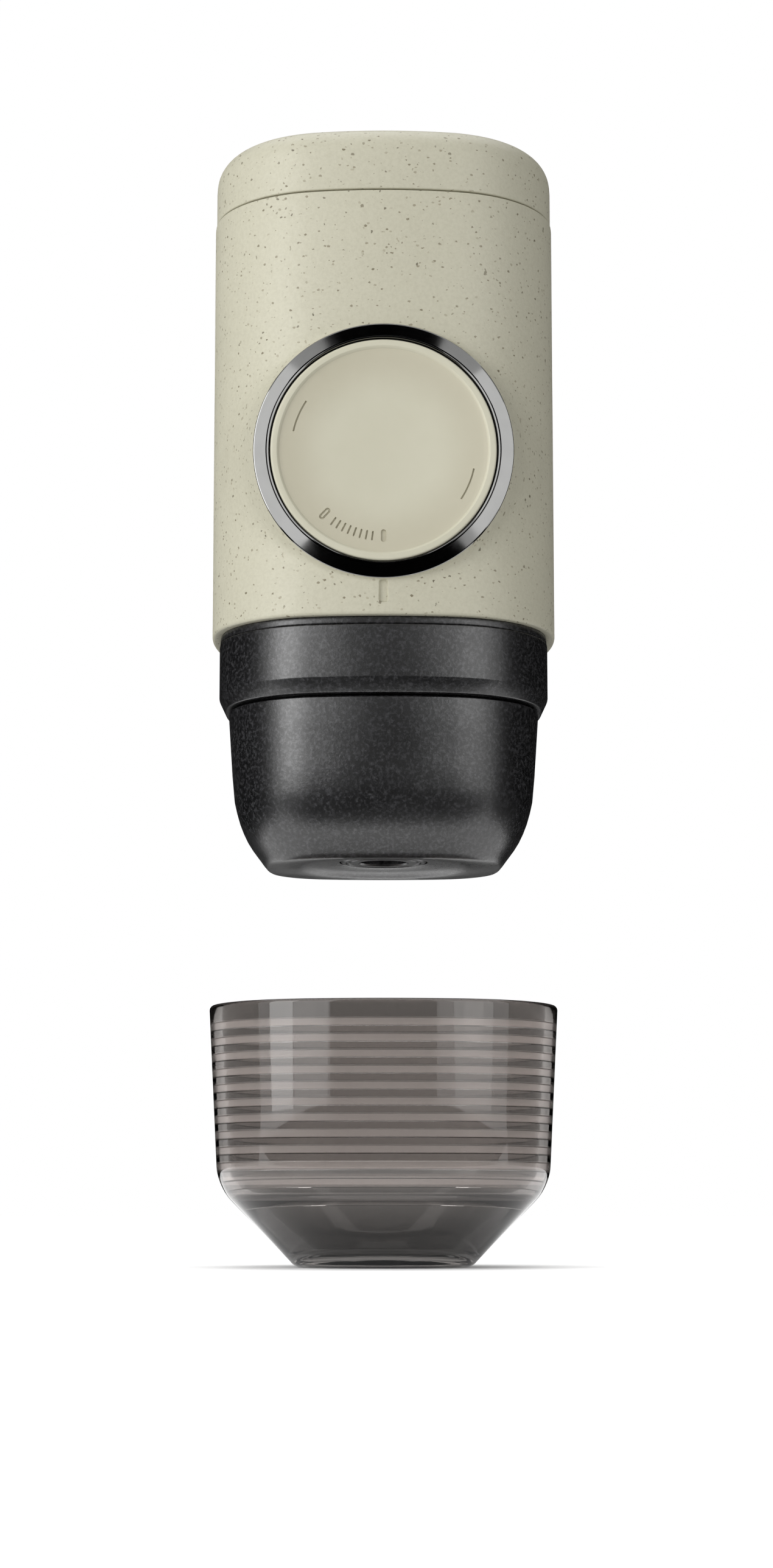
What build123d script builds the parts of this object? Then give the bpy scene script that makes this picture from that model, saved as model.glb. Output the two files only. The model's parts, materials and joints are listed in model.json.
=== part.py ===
from build123d import *
import os
from math import atan2, cos, degrees, hypot, radians, sin, tan

# Hand-pumped capsule espresso maker with its cup.
# The maker is held above the cup, which stands on the table; the cup slides up over the
# outlet and becomes the maker's bottom cover. Millimetres, +Z up, the front faces -Y.
# The origin is the middle of the cup's foot.
# Water runs down from the tank, past the inlet valve, into a piston pump that lies front to
# back behind the round knob, and is pushed past the outlet valve through the capsule.

os.makedirs("parts", exist_ok=True)

# ---------------------------------------------------------------- driving dimensions
# Outline of the body, seen from above: four shallow bows and four round corners.
body_width = 68.0
body_depth = 61.2
front_bow = 80.0
side_bow = 76.0
corner_radius = 23.8

# Stack of the outer pieces, from the table up.
cup_height = 50.0
pour_gap = 27.5
bowl_height = 30.0
parting_gap = 0.6
collar_height = 13.0
neck_height = 1.5
shell_height = 83.6
seam_gap = 0.35
cap_height = 13.5

# Walls and edges.
shell_wall = 2.2
edge_round = 0.6
fine_round = 0.3
screw_boss_radius = 3.2
screw_boss_height = 11.0

# Clearances.
slip = 0.3
running = 0.15
touch = 0.05

# Cup.
cup_wall = 2.2
cup_floor = 4.0
cup_foot_width = 34.0
cup_foot_depth = 31.0
cup_foot_bow = 24.0
cup_foot_corner = 13.0
cup_shoulder_inset = 1.8
cup_shoulder_height = 15.5
cup_shoulder_round = 9.0
cup_shoulder_turn = 45.0
cup_foot_round = 1.5
cup_rim_round = 0.7
rib_pitch = 2.94
rib_height = 1.47
rib_depth = 0.35
rib_count = 10
rib_start = 18.5

# Outlet head.
bowl_top_inset = 3.35
bowl_draft = 3.75
bowl_bottom_round = 16.8
bowl_sink = 4.2
bowl_floor = 4.5
dish_depth = 1.2
dish_land = 2.7
capsule_pocket_radius = 20.9
spigot_wall = 3.4
spigot_height = 9.0
nozzle_disc_radius = 8.4
nozzle_disc_thickness = 1.6
nozzle_bore_radius = 4.7
nozzle_wall = 1.4
o_ring_wire = 1.4
o_ring_overlap = 0.7

# Piercing plate under the capsule.
plate_thickness = 2.0
plate_hollow = 1.0
stud_pitch = 3.4
stud_base = 2.2
stud_top = 1.0
stud_height = 1.5
stud_field_radius = 12.5
drain_radius = 0.45

# Capsule holder: the capsule lies in it nose up, with its rim at the bottom.
capsule_rim_radius = 18.5
capsule_rim_thickness = 1.2
capsule_mouth_radius = 15.2
capsule_nose_radius = 12.2
capsule_length = 28.4
holder_wall = 1.8
holder_flange = 2.6
holder_rib_count = 8
holder_rib_thickness = 1.4

# Collar and injection plate.
collar_inset = 1.45
collar_chamfer_height = 2.8
collar_chamfer_inset = 1.3
collar_deck = 2.7
neck_inset = 1.6
neck_band = 4.0
injection_plate_radius = 19.2
injection_plate_thickness = 3.2
injection_boss_radius = 5.0
needle_count = 3
needle_distance = 5.2
needle_radius = 1.3
needle_tip_radius = 0.2
needle_length = 7.5
gasket_thickness = 1.6
gasket_seat = 0.8
gasket_inner_radius = 12.6

# Screws.
screw_radius = 1.25
screw_head_radius = 2.3
screw_head_height = 1.5
collar_screw_distance = 21.9
frame_screw_length = 8.0
frame_screw_distance = 9.0
frame_screw_margin = 1.5

# Inner frame.
frame_deck = 2.8
frame_opening_radius = 9.0
rail_thickness = 2.1
web_gap = 2.05
web_thickness = 4.0
web_half_height = 14.0
web_notch_width = 10.0
web_notch_depth = 1.25
web_hole_radius = 1.5
web_hole_margin = 2.75

# Knob and bezel.
knob_foot_margin = 6.85
knob_margin = 9.1
bezel_width = 3.0
bezel_thickness = 0.9
bezel_edge = 0.25
boss_proud = 0.45
boss_runout = 22.0
boss_side_gap = 0.48
boss_round = 1.2
knob_lip_width = 1.25
knob_lip_drop = 0.55
knob_lip_slope = 0.5
knob_lip_round = 0.35
knob_dish = 0.9
knob_dish_midway = 0.65
knob_dish_slope = 0.12
knob_plate = 2.6
knob_plug_depth = 1.2
knob_hub_radius = 7.0
knob_hub_length = 4.2
skirt_wall = 1.7
skirt_step = 0.5
skirt_engagement = 2.0
guide_wall = 1.9
guide_web = 2.0
index_slot_width = 1.8
index_slot_height = 3.5
index_slot_depth = 0.45
index_slot_rise = 4.05
knob_mark_distance = 16.7
knob_mark_width = 1.0
knob_mark_length = 2.5
knob_mark_depth = 0.3
knob_mark_line = 0.33
knob_turn_angle = 42.0

# Pump. Its stroke is what the body's depth leaves.
piston_radius = 7.3
piston_length = 6.0
piston_groove = 2.0
piston_rest_gap = 1.4
piston_stop_gap = 1.2
bore_clearance = 0.2
cylinder_wall = 2.5
cylinder_flange_radius = 14.0
cylinder_flange = 2.0
cylinder_cap_thickness = 2.0
rod_radius = 4.0
rod_tail_radius = 2.5
rod_tail_length = 4.0
rod_bush_length = 2.8
rod_bush_proud = 2.4
rod_seat = 0.5
clip_thickness = 0.8
clip_radius = 6.4
spring_wire = 1.4
spring_turns = 5

# Valve block behind the cylinder.
block_width = 13.0
block_depth = 11.0
block_half_height = 18.0
block_round = 4.0
block_wall_gap = 1.4
valve_bore_radius = 3.0
port_radius = 1.5
seat_bore_radius = 1.2
inlet_seat_length = 6.0
outlet_seat_rise = 4.0
outlet_seat_length = 4.0
outlet_plug_length = 3.6
ball_radius = 2.2
valve_spring_wire = 0.45
valve_spring_turns = 4
short_spring_turns = 3
barb_radius = 2.0
barb_length = 2.6
relief_rise = 5.0
relief_barrel_radius = 3.9
relief_barrel_length = 10.5
relief_ball_radius = 1.9
relief_plug_length = 2.2
relief_drain_radius = 0.6
relief_seat_length = 2.0
valve_spring_radius = 1.7

# Tubes.
tube_wall = 1.0
tube_bend_clearance = 0.35

# Tank.
tank_gap = 4.0
tank_wall = 1.7
tank_top_round = 3.0
tank_seal_width = 2.0
tank_seal_thickness = 1.5
socket_gap = 0.7
socket_floor = 2.2
socket_wall = 1.1
socket_height = 8.0
socket_ledge = 1.5
socket_ledge_height = 2.0
strainer_radius = 2.8
strainer_thickness = 0.9
strainer_hole_pitch = 0.82
strainer_hole_radius = 0.31
cap_inset = 0.25
cap_round = 2.6
cap_ceiling = 2.4

# ---------------------------------------------------------------- places worked out from them
outlet_height = cup_height + pour_gap
bowl_top = outlet_height + bowl_height
collar_bottom = bowl_top + parting_gap
collar_top = collar_bottom + collar_height
shell_bottom = collar_top + neck_height
seam_height = shell_bottom + shell_height
cap_bottom = seam_height + seam_gap
cap_top = cap_bottom + cap_height

half_width = body_width / 2
half_depth = body_depth / 2

# The middle of a corner round: two circles, one inside each bow, cross there.
front_span = front_bow - half_depth
side_span = side_bow - half_width
span = hypot(front_span, side_span)
front_reach = front_bow - corner_radius
side_reach = side_bow - corner_radius
along_span = (side_reach ** 2 - front_reach ** 2 + span ** 2) / (2 * span)
off_span = (side_reach ** 2 - along_span ** 2) ** 0.5
corner_x = (along_span * side_span + off_span * front_span) / span - side_span
corner_y = (off_span * side_span - along_span * front_span) / span

bezel_outer_radius = half_width - knob_margin
bezel_inner_radius = bezel_outer_radius - bezel_width
knob_rise = bezel_outer_radius + knob_foot_margin
knob_height = shell_bottom + knob_rise

pocket_floor = outlet_height + bowl_floor
plate_bottom = pocket_floor + slip
plate_top = plate_bottom + plate_thickness
holder_bottom = plate_top + slip
holder_top = holder_bottom + capsule_length
holder_radius = capsule_pocket_radius - slip
gasket_bottom = holder_top + slip
injection_bottom = gasket_bottom + gasket_thickness
injection_top = injection_bottom + injection_plate_thickness
spigot_radius = capsule_pocket_radius + spigot_wall
collar_bore = spigot_radius + slip
collar_deck_bottom = collar_top - collar_deck

frame_bottom = shell_bottom + slip
frame_top = frame_bottom + frame_deck
frame_inset = shell_wall + slip
frame_screw_x = half_width - frame_inset - screw_head_radius - frame_screw_margin
rail_inner = frame_screw_x - screw_boss_radius - slip - rail_thickness
rail_middle = rail_inner + rail_thickness / 2

# Distances measured forwards along the pump's axis, from the middle of the body.
boss_face = half_depth + boss_proud
bezel_face = boss_face + bezel_thickness
boss_back = corner_y + corner_radius * sin(radians(boss_runout))
boss_base_radius = corner_x + corner_radius * cos(radians(boss_runout)) - boss_side_gap
boss_length = boss_face - boss_back
boss_draft = degrees(atan2(boss_base_radius - bezel_outer_radius, boss_length))
knob_radius = bezel_inner_radius - slip
knob_back = bezel_face - knob_plate
knob_plug_back = knob_back - knob_plug_depth
hub_back = knob_plug_back - knob_hub_length

# The valve block stands at the shell's back wall; the piston rests just in front of it.
valve_axis = half_depth - shell_wall - block_wall_gap - block_depth / 2
block_front = block_depth / 2 - valve_axis
cylinder_cap_front = block_front + cylinder_cap_thickness + touch
cylinder_back = cylinder_cap_front + touch
piston_back = cylinder_back + piston_rest_gap
piston_front = piston_back + piston_length

# Half of the free length is the stroke; the skirt and the cylinder take the other half.
bush_reach = skirt_engagement + slip - touch - cylinder_flange - rod_bush_proud + rod_bush_length
stroke = (knob_back - piston_front - bush_reach - piston_stop_gap) / 2
skirt_length = stroke + skirt_engagement
skirt_radius = knob_radius - skirt_step
skirt_back = knob_back - skirt_length
guide_radius = skirt_radius + slip + guide_wall
guide_front = knob_back - slip
bezel_spigot = boss_face - guide_front - slip
guide_back = skirt_back - slip - guide_web
flange_back = guide_back + guide_web + touch
flange_front = flange_back + cylinder_flange
cylinder_bore = piston_radius + bore_clearance
cylinder_radius = cylinder_bore + cylinder_wall
bush_front = flange_front + rod_bush_proud
cylinder_front = bush_front + touch
bush_back = bush_front - rod_bush_length
rod_front = knob_plug_back + rod_seat
spring_radius = cylinder_radius + slip + spring_wire
web_front = guide_back - web_gap

# Tank, from its socket up.
tank_radius = half_depth - tank_gap
socket_bottom = knob_height + guide_radius + socket_gap
socket_top = socket_bottom + socket_floor
seal_bottom = socket_top + touch
tank_mouth = seal_bottom + tank_seal_thickness + touch
tank_ceiling = cap_top - cap_ceiling - slip
socket_inner_radius = tank_radius + slip
socket_inset = shell_wall + slip

relief_height = knob_height + relief_rise
block_top = knob_height + block_half_height
block_bottom = knob_height - block_half_height
seat_bottom = block_top - inlet_seat_length
outlet_seat_top = knob_height - outlet_seat_rise
outlet_seat_bottom = outlet_seat_top - outlet_seat_length
ball_drop = (ball_radius ** 2 - seat_bore_radius ** 2) ** 0.5
inlet_ball_height = seat_bottom - ball_drop - touch
outlet_ball_height = outlet_seat_bottom - ball_drop - touch
outlet_plug_top = block_bottom + outlet_plug_length


# ---------------------------------------------------------------- helpers
def bowed_outline(reach_x, reach_y, front, side, corner, height):
    """An outline at a height: four shallow bows that meet in four round corners."""
    with BuildSketch(Plane.XY.offset(height), mode=Mode.PRIVATE) as outline:
        with Locations((0, front - reach_y)):
            Circle(front)
        with Locations((0, reach_y - front)):
            Circle(front, mode=Mode.INTERSECT)
        with Locations((side - reach_x, 0)):
            Circle(side, mode=Mode.INTERSECT)
        with Locations((reach_x - side, 0)):
            Circle(side, mode=Mode.INTERSECT)
        fillet(outline.vertices(), corner)
    return outline.sketch


def oval(inset, height):
    """The body's outline at a height, moved inwards by inset."""
    return bowed_outline(half_width - inset, half_depth - inset, front_bow - inset,
                         side_bow - inset, corner_radius - inset, height)


def foot_oval(inset, height):
    """The rounder outline of the cup's foot."""
    return bowed_outline(cup_foot_width / 2 - inset, cup_foot_depth / 2 - inset,
                         cup_foot_bow - inset, cup_foot_bow - inset,
                         cup_foot_corner - inset, height)


def across_pump(forward):
    """A plane square to the pump's axis; its normal points to the front."""
    return Plane(origin=(0, -forward, knob_height), x_dir=(1, 0, 0), z_dir=(0, -1, 0))


# A plane that holds the pump's axis: local x is the radius, local y runs forwards.
along_pump = Plane(origin=(0, 0, knob_height), x_dir=(1, 0, 0), z_dir=(0, 0, -1))
pump_axis = Axis((0, 0, knob_height), (0, -1, 0))


def spring_end(ball):
    """How far from a ball's centre a valve spring's end bears on it."""
    reach = ball + valve_spring_wire / 2 + touch
    return (reach ** 2 - valve_spring_radius ** 2) ** 0.5 - valve_spring_wire / 2


def across_valves(height):
    """A level plane with its origin on the valve bore's axis."""
    return Plane(origin=(0, valve_axis, height))


def across_relief(distance):
    """A plane square to the relief valve, at a distance from the body's middle."""
    return Plane(origin=(distance, valve_axis, relief_height), x_dir=(0, 1, 0), z_dir=(1, 0, 0))


def across_start(path):
    """A plane square to a path, at its start."""
    return Plane(origin=path @ 0, z_dir=path % 0)


def save(piece, name):
    """Labels a finished piece and writes it."""
    piece.part.label = name
    export_step(piece.part, "parts/" + name + ".step")


def annulus(outer, inner):
    """Draws a ring on the open sketch."""
    Circle(outer)
    Circle(inner, mode=Mode.SUBTRACT)


def grid_within(rows, reach):
    """The spots of a square stud grid that lie within a reach of its middle."""
    grid = GridLocations(stud_pitch, stud_pitch, rows, rows)
    return [spot for spot in grid.local_locations if spot.position.length < reach]


def coil(plane, radius, wire, length, turns):
    """Draws the middle line of a spring that stands on a plane, its wire inside its length."""
    pitch = (length - wire) / turns
    start = plane.origin + plane.z_dir * (wire / 2)
    Helix(pitch, length - wire, radius, center=start, direction=plane.z_dir)


# ---------------------------------------------------------------- cup
shoulder_inside = cup_shoulder_height + cup_wall * tan(radians(cup_shoulder_turn / 2))
with BuildPart() as cup_hollow:
    loft([
        foot_oval(cup_wall / 2, cup_floor),
        oval(cup_shoulder_inset + cup_wall, shoulder_inside),
    ], ruled=True)
    loft([
        oval(cup_shoulder_inset + cup_wall, shoulder_inside),
        oval(cup_wall, cup_height),
    ], ruled=True)
    bend = cup_hollow.edges().filter_by(lambda e: abs(e.center().Z - shoulder_inside) < touch)
    fillet(bend, cup_shoulder_round - cup_wall)

with BuildPart() as cup:
    loft([foot_oval(0, 0), oval(cup_shoulder_inset, cup_shoulder_height)], ruled=True)
    loft([oval(cup_shoulder_inset, cup_shoulder_height), oval(0, cup_height)], ruled=True)
    shoulder = cup.edges().filter_by(lambda e: abs(e.center().Z - cup_shoulder_height) < touch)
    fillet(shoulder, cup_shoulder_round)
    fillet(cup.edges().group_by(Axis.Z)[0], cup_foot_round)
    add(cup_hollow.part, mode=Mode.SUBTRACT)
    fillet(cup.edges().group_by(Axis.Z)[-1], cup_rim_round)
    # Low steps run round the inside of the wall.
    wall_slope = cup_shoulder_inset / (cup_height - cup_shoulder_height)
    for index in range(rib_count):
        height = rib_start + index * rib_pitch
        wall_inset = cup_wall + wall_slope * (cup_height - height)
        extrude(oval(wall_inset - cup_wall / 2, height), amount=rib_height)
        extrude(oval(wall_inset + rib_depth, height), amount=rib_height, mode=Mode.SUBTRACT)
save(cup, "cup")

# ---------------------------------------------------------------- outlet head
low_inset = bowl_top_inset + (bowl_height + bowl_sink) * tan(radians(bowl_draft))
round_rise = (bowl_bottom_round ** 2 - (bowl_bottom_round - bowl_sink) ** 2) ** 0.5
bowl_foot_inset = low_inset + bowl_bottom_round - round_rise
with BuildPart() as outlet_bowl:
    # A drafted oval block whose bottom edge is rounded, then cut off above the round's end.
    loft([oval(low_inset, outlet_height - bowl_sink), oval(bowl_top_inset, bowl_top)], ruled=True)
    fillet(outlet_bowl.edges().group_by(Axis.Z)[0], bowl_bottom_round)
    split(bisect_by=Plane.XY.offset(outlet_height), keep=Keep.TOP)
    fillet(outlet_bowl.edges().group_by(Axis.Z)[0], edge_round)
    # The threaded spigot that screws into the collar.
    with BuildSketch(Plane.XY.offset(bowl_top)):
        Circle(spigot_radius)
    extrude(amount=spigot_height)
    # The round pocket for the piercing plate and the capsule holder.
    with BuildSketch(Plane.XY.offset(pocket_floor)):
        Circle(capsule_pocket_radius)
    extrude(amount=bowl_top + spigot_height - pocket_floor, mode=Mode.SUBTRACT)
    # The dished underside.
    with BuildSketch(Plane.XY.offset(outlet_height)):
        Circle(half_depth - bowl_foot_inset - dish_land)
    extrude(amount=dish_depth, mode=Mode.SUBTRACT)
    # The seat and hole of the nozzle.
    with BuildSketch(Plane.XY.offset(outlet_height)):
        Circle(nozzle_disc_radius + slip)
    extrude(amount=dish_depth + nozzle_disc_thickness, mode=Mode.SUBTRACT)
    with BuildSketch(Plane.XY.offset(outlet_height)):
        Circle(nozzle_bore_radius + nozzle_wall + running)
    extrude(amount=bowl_floor, mode=Mode.SUBTRACT)
save(outlet_bowl, "outlet_bowl")

nozzle_flange_top = outlet_height + dish_depth + nozzle_disc_thickness - touch
nozzle_radius = nozzle_bore_radius + nozzle_wall
with BuildPart() as outlet_nozzle:
    with BuildSketch(Plane.XY.offset(nozzle_flange_top - nozzle_disc_thickness)):
        annulus(nozzle_disc_radius, nozzle_bore_radius)
    extrude(amount=nozzle_disc_thickness)
    fillet(outlet_nozzle.edges().filter_by(GeomType.CIRCLE).group_by(Axis.Z)[0], fine_round)
    with BuildSketch(Plane.XY.offset(nozzle_flange_top)):
        annulus(nozzle_radius, nozzle_bore_radius)
    extrude(amount=pocket_floor - nozzle_flange_top)
save(outlet_nozzle, "outlet_nozzle")

with BuildPart() as nozzle_seal:
    with BuildSketch(Plane.XY.offset(pocket_floor + touch)):
        annulus(nozzle_radius + o_ring_wire, nozzle_radius - o_ring_overlap)
    extrude(amount=slip - 2 * touch)
save(nozzle_seal, "nozzle_seal")

# ---------------------------------------------------------------- piercing plate
with BuildPart() as piercing_plate:
    with BuildSketch(Plane.XY.offset(plate_bottom)):
        Circle(holder_radius)
    extrude(amount=plate_thickness)
    # A shallow hollow underneath gathers the coffee above the nozzle.
    with BuildSketch(Plane.XY.offset(plate_bottom)):
        Circle(stud_field_radius + stud_pitch)
    extrude(amount=plate_hollow, mode=Mode.SUBTRACT)
    # A field of small blunt pyramids tears the foil; a drain hole lies between each four.
    stud_rows = 2 * int(stud_field_radius / stud_pitch) + 1
    with BuildSketch(Plane.XY.offset(plate_top)):
        with Locations(*grid_within(stud_rows, stud_field_radius)):
            Rectangle(stud_base, stud_base)
    extrude(amount=stud_height, taper=degrees(atan2((stud_base - stud_top) / 2, stud_height)))
    with BuildSketch(Plane.XY.offset(plate_bottom)):
        with Locations(*grid_within(stud_rows - 1, stud_field_radius - stud_pitch / 2)):
            RegularPolygon(drain_radius, 6)
    extrude(amount=plate_thickness, mode=Mode.SUBTRACT)
save(piercing_plate, "piercing_plate")

# ---------------------------------------------------------------- capsule holder
nose_outer = capsule_nose_radius + holder_wall
mouth_outer = capsule_mouth_radius + holder_wall
rim_top = holder_bottom + capsule_rim_thickness
sleeve_bottom = holder_bottom + holder_flange
sleeve_top = holder_top - holder_flange
with BuildPart() as capsule_holder:
    # Two flanges with a tapered sleeve between them.
    with BuildSketch(Plane.XY.offset(holder_bottom), Plane.XY.offset(sleeve_top)):
        Circle(holder_radius)
    extrude(amount=holder_flange)
    with BuildSketch(Plane.XY.offset(sleeve_bottom)):
        Circle(mouth_outer)
    with BuildSketch(Plane.XY.offset(sleeve_top)):
        Circle(nose_outer)
    loft()
    # Upright ribs stiffen the sleeve.
    with BuildSketch(Plane.XY.offset(sleeve_bottom)):
        with PolarLocations((nose_outer + holder_radius) / 2, holder_rib_count):
            Rectangle(holder_radius - nose_outer, holder_rib_thickness)
    extrude(amount=sleeve_top - sleeve_bottom)
    # The room of the capsule, with the seat of its rim at the bottom.
    with BuildSketch(Plane.XY.offset(holder_bottom)):
        Circle(capsule_rim_radius)
    extrude(amount=capsule_rim_thickness, mode=Mode.SUBTRACT)
    with BuildSketch(Plane.XY.offset(rim_top)):
        Circle(capsule_mouth_radius)
    with BuildSketch(Plane.XY.offset(holder_top)):
        Circle(capsule_nose_radius)
    loft(mode=Mode.SUBTRACT)
save(capsule_holder, "capsule_holder")

# ---------------------------------------------------------------- collar and injection plate
with BuildPart() as collar_ring:
    chamfer_top = collar_bottom + collar_chamfer_height
    loft([
        oval(collar_inset + collar_chamfer_inset, collar_bottom),
        oval(collar_inset, chamfer_top),
    ], ruled=True)
    extrude(oval(collar_inset, chamfer_top), amount=collar_top - chamfer_top)
    fillet(collar_ring.edges().group_by(Axis.Z)[-1], fine_round)
    # The bore that the spigot screws into.
    with BuildSketch(Plane.XY.offset(collar_bottom)):
        Circle(collar_bore)
    extrude(amount=collar_deck_bottom - collar_bottom, mode=Mode.SUBTRACT)
    with BuildSketch(Plane.XY.offset(collar_bottom)):
        Circle(injection_boss_radius + slip)
    extrude(amount=collar_height, mode=Mode.SUBTRACT)
    with BuildSketch(Plane.XY.offset(collar_deck_bottom)):
        with PolarLocations(collar_screw_distance, 4, start_angle=45):
            Circle(screw_head_radius + slip)
    extrude(amount=screw_head_height, mode=Mode.SUBTRACT)
    with BuildSketch(Plane.XY.offset(collar_deck_bottom)):
        with PolarLocations(collar_screw_distance, 4, start_angle=45):
            Circle(screw_radius + running)
    extrude(amount=collar_deck, mode=Mode.SUBTRACT)
save(collar_ring, "collar_ring")

with BuildPart() as neck_ring:
    extrude(oval(neck_inset, collar_top + touch), amount=neck_height - 2 * touch)
    extrude(oval(neck_inset + neck_band, collar_top + touch), amount=neck_height, mode=Mode.SUBTRACT)
save(neck_ring, "neck_ring")

boss_top = collar_top + neck_height / 2
tube_bore = barb_radius + running
with BuildPart() as injection_plate:
    with BuildSketch(Plane.XY.offset(injection_bottom)):
        Circle(injection_plate_radius)
    extrude(amount=injection_plate_thickness)
    with BuildSketch(Plane.XY.offset(injection_top)):
        Circle(injection_boss_radius)
    extrude(amount=boss_top - injection_top)
    with BuildSketch(Plane.XY.offset(boss_top)):
        Circle(barb_radius)
    extrude(amount=barb_length)
    # Piercing needles point down into the capsule's nose.
    with BuildSketch(Plane.XY.offset(injection_bottom)):
        with PolarLocations(needle_distance, needle_count):
            Circle(needle_radius)
    needle_taper = degrees(atan2(needle_radius - needle_tip_radius, needle_length))
    extrude(amount=-needle_length, taper=needle_taper)
    # The seat of the gasket.
    with BuildSketch(Plane.XY.offset(injection_bottom)):
        annulus(injection_plate_radius, gasket_inner_radius - slip)
    extrude(amount=gasket_seat, mode=Mode.SUBTRACT)
    # Water comes down the middle.
    with BuildSketch(Plane.XY.offset(injection_bottom)):
        Circle(seat_bore_radius)
    extrude(amount=boss_top + barb_length - injection_bottom, mode=Mode.SUBTRACT)
save(injection_plate, "injection_plate")

with BuildPart() as chamber_gasket:
    with BuildSketch(Plane.XY.offset(gasket_bottom)):
        annulus(injection_plate_radius, gasket_inner_radius)
    extrude(amount=gasket_thickness + gasket_seat - touch)
    fillet(chamber_gasket.edges().group_by(Axis.Z)[0], fine_round)
save(chamber_gasket, "chamber_gasket")

# ---------------------------------------------------------------- screws
with BuildPart() as collar_screws:
    with BuildSketch(Plane.XY.offset(collar_deck_bottom + touch)):
        with PolarLocations(collar_screw_distance, 4, start_angle=45):
            Circle(screw_head_radius)
    extrude(amount=screw_head_height - touch)
    with BuildSketch(Plane.XY.offset(collar_deck_bottom + screw_head_height)):
        with PolarLocations(collar_screw_distance, 4, start_angle=45):
            Circle(screw_radius)
    extrude(amount=frame_top - collar_deck_bottom - screw_head_height)
save(collar_screws, "collar_screws")

with BuildPart() as frame_screws:
    with BuildSketch(Plane.XY.offset(frame_bottom)):
        with GridLocations(2 * frame_screw_x, 2 * frame_screw_distance, 2, 2):
            Circle(screw_head_radius)
    extrude(amount=screw_head_height)
    with BuildSketch(Plane.XY.offset(frame_bottom + screw_head_height)):
        with GridLocations(2 * frame_screw_x, 2 * frame_screw_distance, 2, 2):
            Circle(screw_radius)
    extrude(amount=frame_screw_length)
save(frame_screws, "frame_screws")

# ---------------------------------------------------------------- inner frame
with BuildPart() as inner_frame:
    extrude(oval(frame_inset, frame_bottom), amount=frame_deck)
    fillet(inner_frame.edges().group_by(Axis.Z)[-1], edge_round)
    # Two rails carry the tank's socket.
    with BuildSketch(Plane.XY.offset(frame_top)):
        with Locations((-rail_middle, 0), (rail_middle, 0)):
            Rectangle(rail_thickness, 2 * web_front)
    extrude(amount=socket_bottom - touch - frame_top)
    # A web between them holds the cylinder.
    with BuildSketch(across_pump(web_front)):
        Rectangle(2 * rail_middle, 2 * web_half_height)
        Circle(cylinder_radius + running, mode=Mode.SUBTRACT)
        with Locations((0, web_half_height), (0, -web_half_height)):
            Rectangle(web_notch_width, 2 * web_notch_depth, mode=Mode.SUBTRACT)
        with GridLocations(2 * (rail_inner - web_hole_margin), web_half_height, 2, 2):
            Circle(web_hole_radius, mode=Mode.SUBTRACT)
    extrude(amount=-web_thickness)
    with BuildSketch(Plane.XY.offset(frame_bottom)):
        Circle(frame_opening_radius)
        with PolarLocations(collar_screw_distance, 4, start_angle=45):
            Circle(screw_radius + running)
        with GridLocations(2 * frame_screw_x, 2 * frame_screw_distance, 2, 2):
            Circle(screw_radius + running)
    extrude(amount=frame_deck, mode=Mode.SUBTRACT)
    with BuildSketch(Plane.XY.offset(frame_bottom)):
        with GridLocations(2 * frame_screw_x, 2 * frame_screw_distance, 2, 2):
            Circle(screw_head_radius + slip)
    extrude(amount=screw_head_height, mode=Mode.SUBTRACT)
save(inner_frame, "inner_frame")

# ---------------------------------------------------------------- body shell
with BuildPart() as body_shell:
    extrude(oval(0, shell_bottom), amount=shell_height)
    fillet(body_shell.edges().group_by(Axis.Z)[0], edge_round)
    # A round boss carries the bezel: flat in front, it runs out into the bowed wall.
    with BuildSketch(across_pump(boss_back)):
        Circle(boss_base_radius)
    extrude(amount=boss_length, taper=boss_draft)
    fillet(body_shell.edges(Select.NEW), boss_round)
    # The hollow of the shell.
    extrude(oval(shell_wall, shell_bottom), amount=shell_height, mode=Mode.SUBTRACT)
    # A ledge for the tank's socket.
    ledge_bottom = socket_bottom - touch - socket_ledge_height
    extrude(oval(shell_wall / 2, ledge_bottom), amount=socket_ledge_height)
    extrude(oval(shell_wall + socket_ledge, ledge_bottom), amount=socket_ledge_height,
            mode=Mode.SUBTRACT)
    # Screw bosses stand on the frame's deck and are tied to the side walls.
    with BuildSketch(Plane.XY.offset(frame_top + touch)):
        tie = half_width - shell_wall / 2 - frame_screw_x - frame_screw_distance ** 2 / (2 * side_bow)
        with GridLocations(2 * frame_screw_x, 2 * frame_screw_distance, 2, 2):
            Circle(screw_boss_radius)
        with GridLocations(2 * frame_screw_x + tie, 2 * frame_screw_distance, 2, 2):
            Rectangle(tie, screw_boss_radius)
    extrude(amount=screw_boss_height)
    with BuildSketch(Plane.XY.offset(frame_top + touch)):
        with GridLocations(2 * frame_screw_x, 2 * frame_screw_distance, 2, 2):
            Circle(screw_radius + touch)
    extrude(amount=frame_screw_length, mode=Mode.SUBTRACT)
    # The bore for the knob's guide.
    with BuildSketch(across_pump(boss_back)):
        Circle(guide_radius + slip)
    extrude(amount=boss_length, mode=Mode.SUBTRACT)
    # The index slot below the knob.
    with BuildSketch(across_pump(half_depth - index_slot_depth)):
        with Locations((0, index_slot_rise - knob_rise)):
            SlotOverall(index_slot_height, index_slot_width, rotation=90)
    extrude(amount=boss_length, mode=Mode.SUBTRACT)
save(body_shell, "body_shell")

# ---------------------------------------------------------------- bezel, guide and knob
with BuildPart() as bezel_ring:
    with BuildSketch(across_pump(boss_face + touch)):
        annulus(bezel_outer_radius, bezel_inner_radius)
    extrude(amount=bezel_thickness - touch)
    chamfer(bezel_ring.edges().group_by(Axis.Y)[0], bezel_edge)
    with BuildSketch(across_pump(boss_face + touch)):
        annulus(guide_radius - slip, bezel_inner_radius)
    extrude(amount=-bezel_spigot)
save(bezel_ring, "bezel_ring")

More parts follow.
